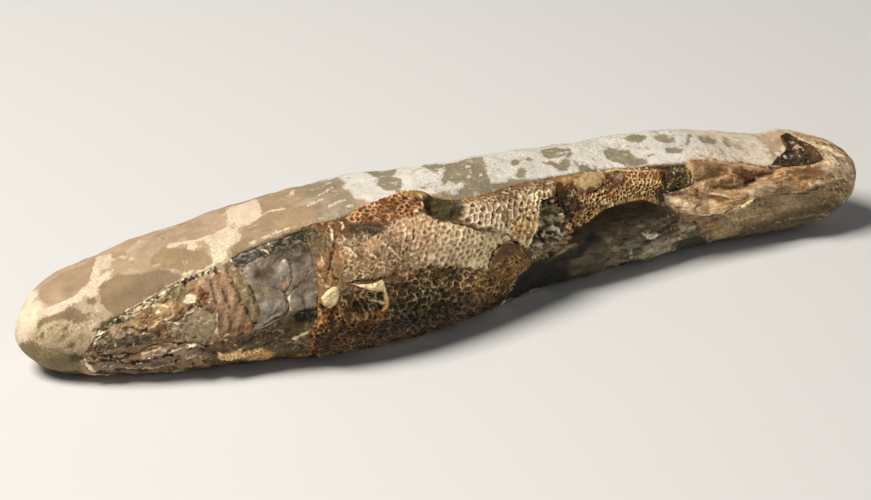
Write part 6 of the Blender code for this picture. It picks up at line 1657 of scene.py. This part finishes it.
def multiply(tree, colour, by):
    # A colour times a colour, or times a number that comes from another node
    if isinstance(by, bpy.types.NodeSocket):
        return addNode(tree, "VectorMath", {0: colour, "Scale": by}, operation="SCALE").outputs[0]
    return addNode(tree, "VectorMath", {0: colour, 1: by}, operation="MULTIPLY").outputs[0]


def blend(tree, share, under, over):
    return addNode(tree, "Mix", {0: share, 6: under, 7: over}, data_type="RGBA").outputs[2]


def connect(tree, shader, colour, rough, bump, depth, height):
    # The shader's colour and roughness, and bumps of depth mm
    bumps = addNode(tree, "Bump", {"Strength": bump, "Distance": depth * metre, "Height": height})
    for key, value in (("Base Color", colour), ("Roughness", rough), ("Normal", bumps.outputs["Normal"])):
        tree.links.new(value, shader.inputs[key])


limestoneLook = {"wander": 1.0, "ragged": 0.9, "edgeLine": 0.2, "lineColour": "#7a5f3f", "grainSize": 0.42,
                 "speckSize": 0.55, "cloud": 0.15, "bump": 0.6}


def limestone():
    # Weathered limestone: a dry, chalky ground with crisp-edged stains and cream veins, a sugary
    # grain, pale and dark grains where it is speckled, and splintery streaks where it is broken
    look = limestoneLook
    material, tree, shader = newMaterial("weatheredLimestone")
    here = addNode(tree, "TexCoord").outputs["Object"]
    wide = noise(tree, here, 1.6, 4.0, 0.65)
    fine = noise(tree, here, look["grainSize"], 3.0, 0.7)
    speck = noise(tree, here, look["speckSize"], 2.0, 0.6)
    turned = addNode(tree, "Mapping", {"Vector": here, "Rotation": (0, 0.12, 0.28), "Scale": (0.2, 1, 1)})
    streak = noise(tree, turned.outputs[0], 0.55, 3.0, 0.65)
    softness = reading(tree, "softness")
    hardness = calculate(tree, "MULTIPLY", softness, -1.0)
    ground = reading(tree, "ground", "Color")
    for key, wander, fray in (("stain", look["wander"], look["ragged"]),
                              ("vein", look["wander"] * 1.3, look["ragged"] * 0.45)):
        bent = calculate(tree, "ADD", reading(tree, key + "Edge"),
                         calculate(tree, "MULTIPLY_ADD", wide, wander * 2, -wander))
        frayed = calculate(tree, "ADD", bent, calculate(tree, "MULTIPLY_ADD", fine, fray * 2, -fray))
        mask = remap(tree, frayed, hardness, softness, interpolation_type="SMOOTHSTEP")
        ground = blend(tree, mask, ground, reading(tree, key, "Color"))
        # a thin brown line along the edge
        rim = remap(tree, calculate(tree, "ABSOLUTE", frayed), 0.0, 0.4, look["edgeLine"], 0.0)
        ground = blend(tree, rim, ground, (*linear(look["lineColour"]), 1))
    # dark and pale grains
    speckled = reading(tree, "speckled")
    for low, high, tint in ((0.56, 0.66, (0.52, 0.44, 0.34)), (0.45, 0.35, (1.5, 1.55, 1.6))):
        amount = calculate(tree, "MULTIPLY", remap(tree, speck, low, high, 0.0, 0.85), speckled)
        ground = blend(tree, amount, ground, multiply(tree, ground, tint))
    # cloudiness everywhere, splintery streaks where the rock is broken
    raw = reading(tree, "raw")
    cloud = remap(tree, fine, 0.25, 0.75, 1 - look["cloud"], 1 + look["cloud"])
    splinter = remap(tree, streak, 0.3, 0.7, -0.42, 0.34)
    shaded = multiply(tree, ground, calculate(tree, "MULTIPLY_ADD", splinter, raw, cloud))
    lumps = calculate(tree, "MULTIPLY_ADD", fine, 0.7, speck)
    ridges = calculate(tree, "MULTIPLY_ADD", streak, raw, lumps)
    connect(tree, shader, shaded, remap(tree, wide, 0.0, 1.0, 0.62, 0.95), look["bump"], 0.2, ridges)
    return material


def fossilFinish(look):
    # Mineralised bone or scale: the pigment laid on the piece, warmed, broken by grain and flecks,
    # under a dull waxy gloss that comes and goes
    material, tree, shader = newMaterial(look["name"])
    here = addNode(tree, "TexCoord").outputs["Object"]
    wide = noise(tree, here, look["cloudSize"], 4.0, 0.65)
    fine = noise(tree, here, look["grainSize"], 3.0, 0.6)
    cloud = remap(tree, fine, 0.25, 0.75, 1 - look["contrast"], 1 + look["contrast"])
    shaded = multiply(tree, reading(tree, "pigment", "Color"), cloud)
    flecks = remap(tree, wide, 0.62, 0.75, 0.0, look["fleckAmount"])
    warmed = multiply(tree, blend(tree, flecks, shaded, (*linear(look["fleck"]), 1)), look["warmth"])
    swing = remap(tree, wide, 0.3, 0.7, -0.16, 0.16)
    rough = calculate(tree, "ADD", reading(tree, "polish"), swing, use_clamp=True)
    connect(tree, shader, warmed, rough, look["bump"], 0.1, fine)
    shader.inputs["IOR"].default_value = 1.5
    shader.inputs["Specular IOR Level"].default_value = look["gloss"]
    return material


looks = {
    "head_bone": {"name": "fossilBone", "cloudSize": 1.1, "grainSize": 0.38, "contrast": 0.34,
                  "fleck": "#dcc8a8", "fleckAmount": 0.35, "bump": 0.6, "gloss": 0.3,
                  "warmth": (1.03, 1.0, 0.86)},
    "gill_bone": {"name": "fossilGillPlate", "cloudSize": 1.8, "grainSize": 0.4, "contrast": 0.24,
                  "fleck": "#b7aca0", "fleckAmount": 0.3, "bump": 0.5, "gloss": 0.28,
                  "warmth": (1.02, 1.0, 0.9)},
    "scales": {"name": "fossilScale", "cloudSize": 1.0, "grainSize": 0.36, "contrast": 0.3,
               "fleck": "#dcbf94", "fleckAmount": 0.3, "bump": 0.55, "gloss": 0.25,
               "warmth": (1.03, 1.0, 0.85)},
    "calcite": {"name": "calciteCrystal", "cloudSize": 0.8, "grainSize": 0.36, "contrast": 0.25,
                "fleck": "#e6dccb", "fleckAmount": 0.4, "bump": 0.5, "gloss": 0.4,
                "warmth": (1.02, 1.0, 0.92)},
    "pale_bone": {"name": "creamBone", "cloudSize": 0.9, "grainSize": 0.36, "contrast": 0.16,
                  "fleck": "#b98a55", "fleckAmount": 0.45, "bump": 0.6, "gloss": 0.3,
                  "warmth": (1.02, 1.0, 0.9)},
    "dark_calcite": {"name": "darkCalcite", "cloudSize": 0.9, "grainSize": 0.4, "contrast": 0.35,
                     "fleck": "#cdbb9c", "fleckAmount": 0.5, "bump": 0.6, "gloss": 0.4,
                     "warmth": (1.03, 1.0, 0.88)},
}
materials = {"limestone": limestone(), **{slot: fossilFinish(look) for slot, look in looks.items()}}
print("materials ready")


def place(piece, node, slot):
    # The finished piece stands for its solid, rides with the body, and takes its finish
    piece.data.materials.append(materials[slot])
    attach(piece, "root")
    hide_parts(node)
    print(piece.name, len(piece.data.polygons), "faces")


place(makeNodule(), "nodule", "limestone")
place(patchPiece("skullBones", skull, dressSkull), "skull", "head_bone")
place(patchPiece("gillCover", gill, dressGill), "gill_cover", "gill_bone")
place(patchPiece("lowerJaw", jaw, dressJaw), "lower_jaw", "head_bone")
place(patchPiece("trunkScales", trunk, dressTrunk), "trunk", "scales")
place(patchPiece("stockScales", stock, dressStock), "tail_stock", "scales")
place(patchPiece("crystalCrust", crust, dressCrust), "calcite_crust", "calcite")
for name, values in smallBones.items():
    place(patchPiece(name, values, dressBone(values)), values["stands"], values["slot"])


# Camera, light and floor

view = {"azimuth": -22.0, "elevation": 32.0, "distance": 650.0, "pixelsPerMm": 4.757, "width": 871,
        "aimHeight": 15.0, "aimLeft": 2.2, "aimDown": 3.36, "sensor": 36.0}
azimuth, elevation = math.radians(view["azimuth"]), math.radians(view["elevation"])
right = Vector((math.cos(azimuth), math.sin(azimuth), 0))
level = math.cos(elevation)
back = Vector((math.sin(azimuth) * level, -math.cos(azimuth) * level, math.sin(elevation)))
up = back.cross(right)
aim = Vector((0, 0, view["aimHeight"])) - view["aimLeft"] * right - view["aimDown"] * up
lens = bpy.data.cameras.new("camera")
lens.sensor_width = view["sensor"]
lens.lens = view["sensor"] * view["pixelsPerMm"] * view["distance"] / view["width"]
camera = bpy.data.objects.new("camera", lens)
bpy.context.scene.collection.objects.link(camera)
turned = Matrix((right, up, back)).transposed().to_4x4()
camera.matrix_world = Matrix.Translation((aim + back * view["distance"]) * metre) @ turned
bpy.context.scene.camera = camera

# Where each lamp stands, as shares of the camera's right, up and back, then distance and size in metres
lamps = {
    "key": {"from": (-0.45, 0.62, 0.65), "distance": 0.9, "size": 0.35, "watts": 10.0,
            "colour": (1, 0.96, 0.90)},
    "fill": {"from": (0.7, 0.2, 0.7), "distance": 1.2, "size": 0.9, "watts": 1.1, "colour": (0.92, 0.96, 1)},
}
for name, values in lamps.items():
    lamp = bpy.data.lights.new(name, "AREA")
    lamp.shape, lamp.size, lamp.energy, lamp.color = "DISK", values["size"], values["watts"], values["colour"]
    holder = bpy.data.objects.new(name, lamp)
    bpy.context.scene.collection.objects.link(holder)
    a, b, c = values["from"]
    towards = (right * a + up * b + back * c).normalized()
    holder.location = towards * values["distance"]
    holder.rotation_euler = towards.to_track_quat("Z", "Y").to_euler()

world = bpy.data.worlds.new("room")
world.use_nodes = True
world.node_tree.nodes["Background"].inputs["Color"].default_value = (0.9, 0.95, 1, 1)
world.node_tree.nodes["Background"].inputs["Strength"].default_value = 0.08
bpy.context.scene.world = world

floorMesh = bpy.data.meshes.new("floor")
floorMesh.from_pydata([(-3, -3, 0), (3, -3, 0), (3, 3, 0), (-3, 3, 0)], [], [(0, 1, 2, 3)])
floor = bpy.data.objects.new("floor", floorMesh)
bpy.context.scene.collection.objects.link(floor)
paper, paperTree, paperShader = newMaterial("paleFloor")
paperShader.inputs["Base Color"].default_value = (0.72, 0.71, 0.69, 1)
paperShader.inputs["Roughness"].default_value = 0.9
floorMesh.materials.append(paper)
bpy.context.scene.view_settings.view_transform = "Standard"
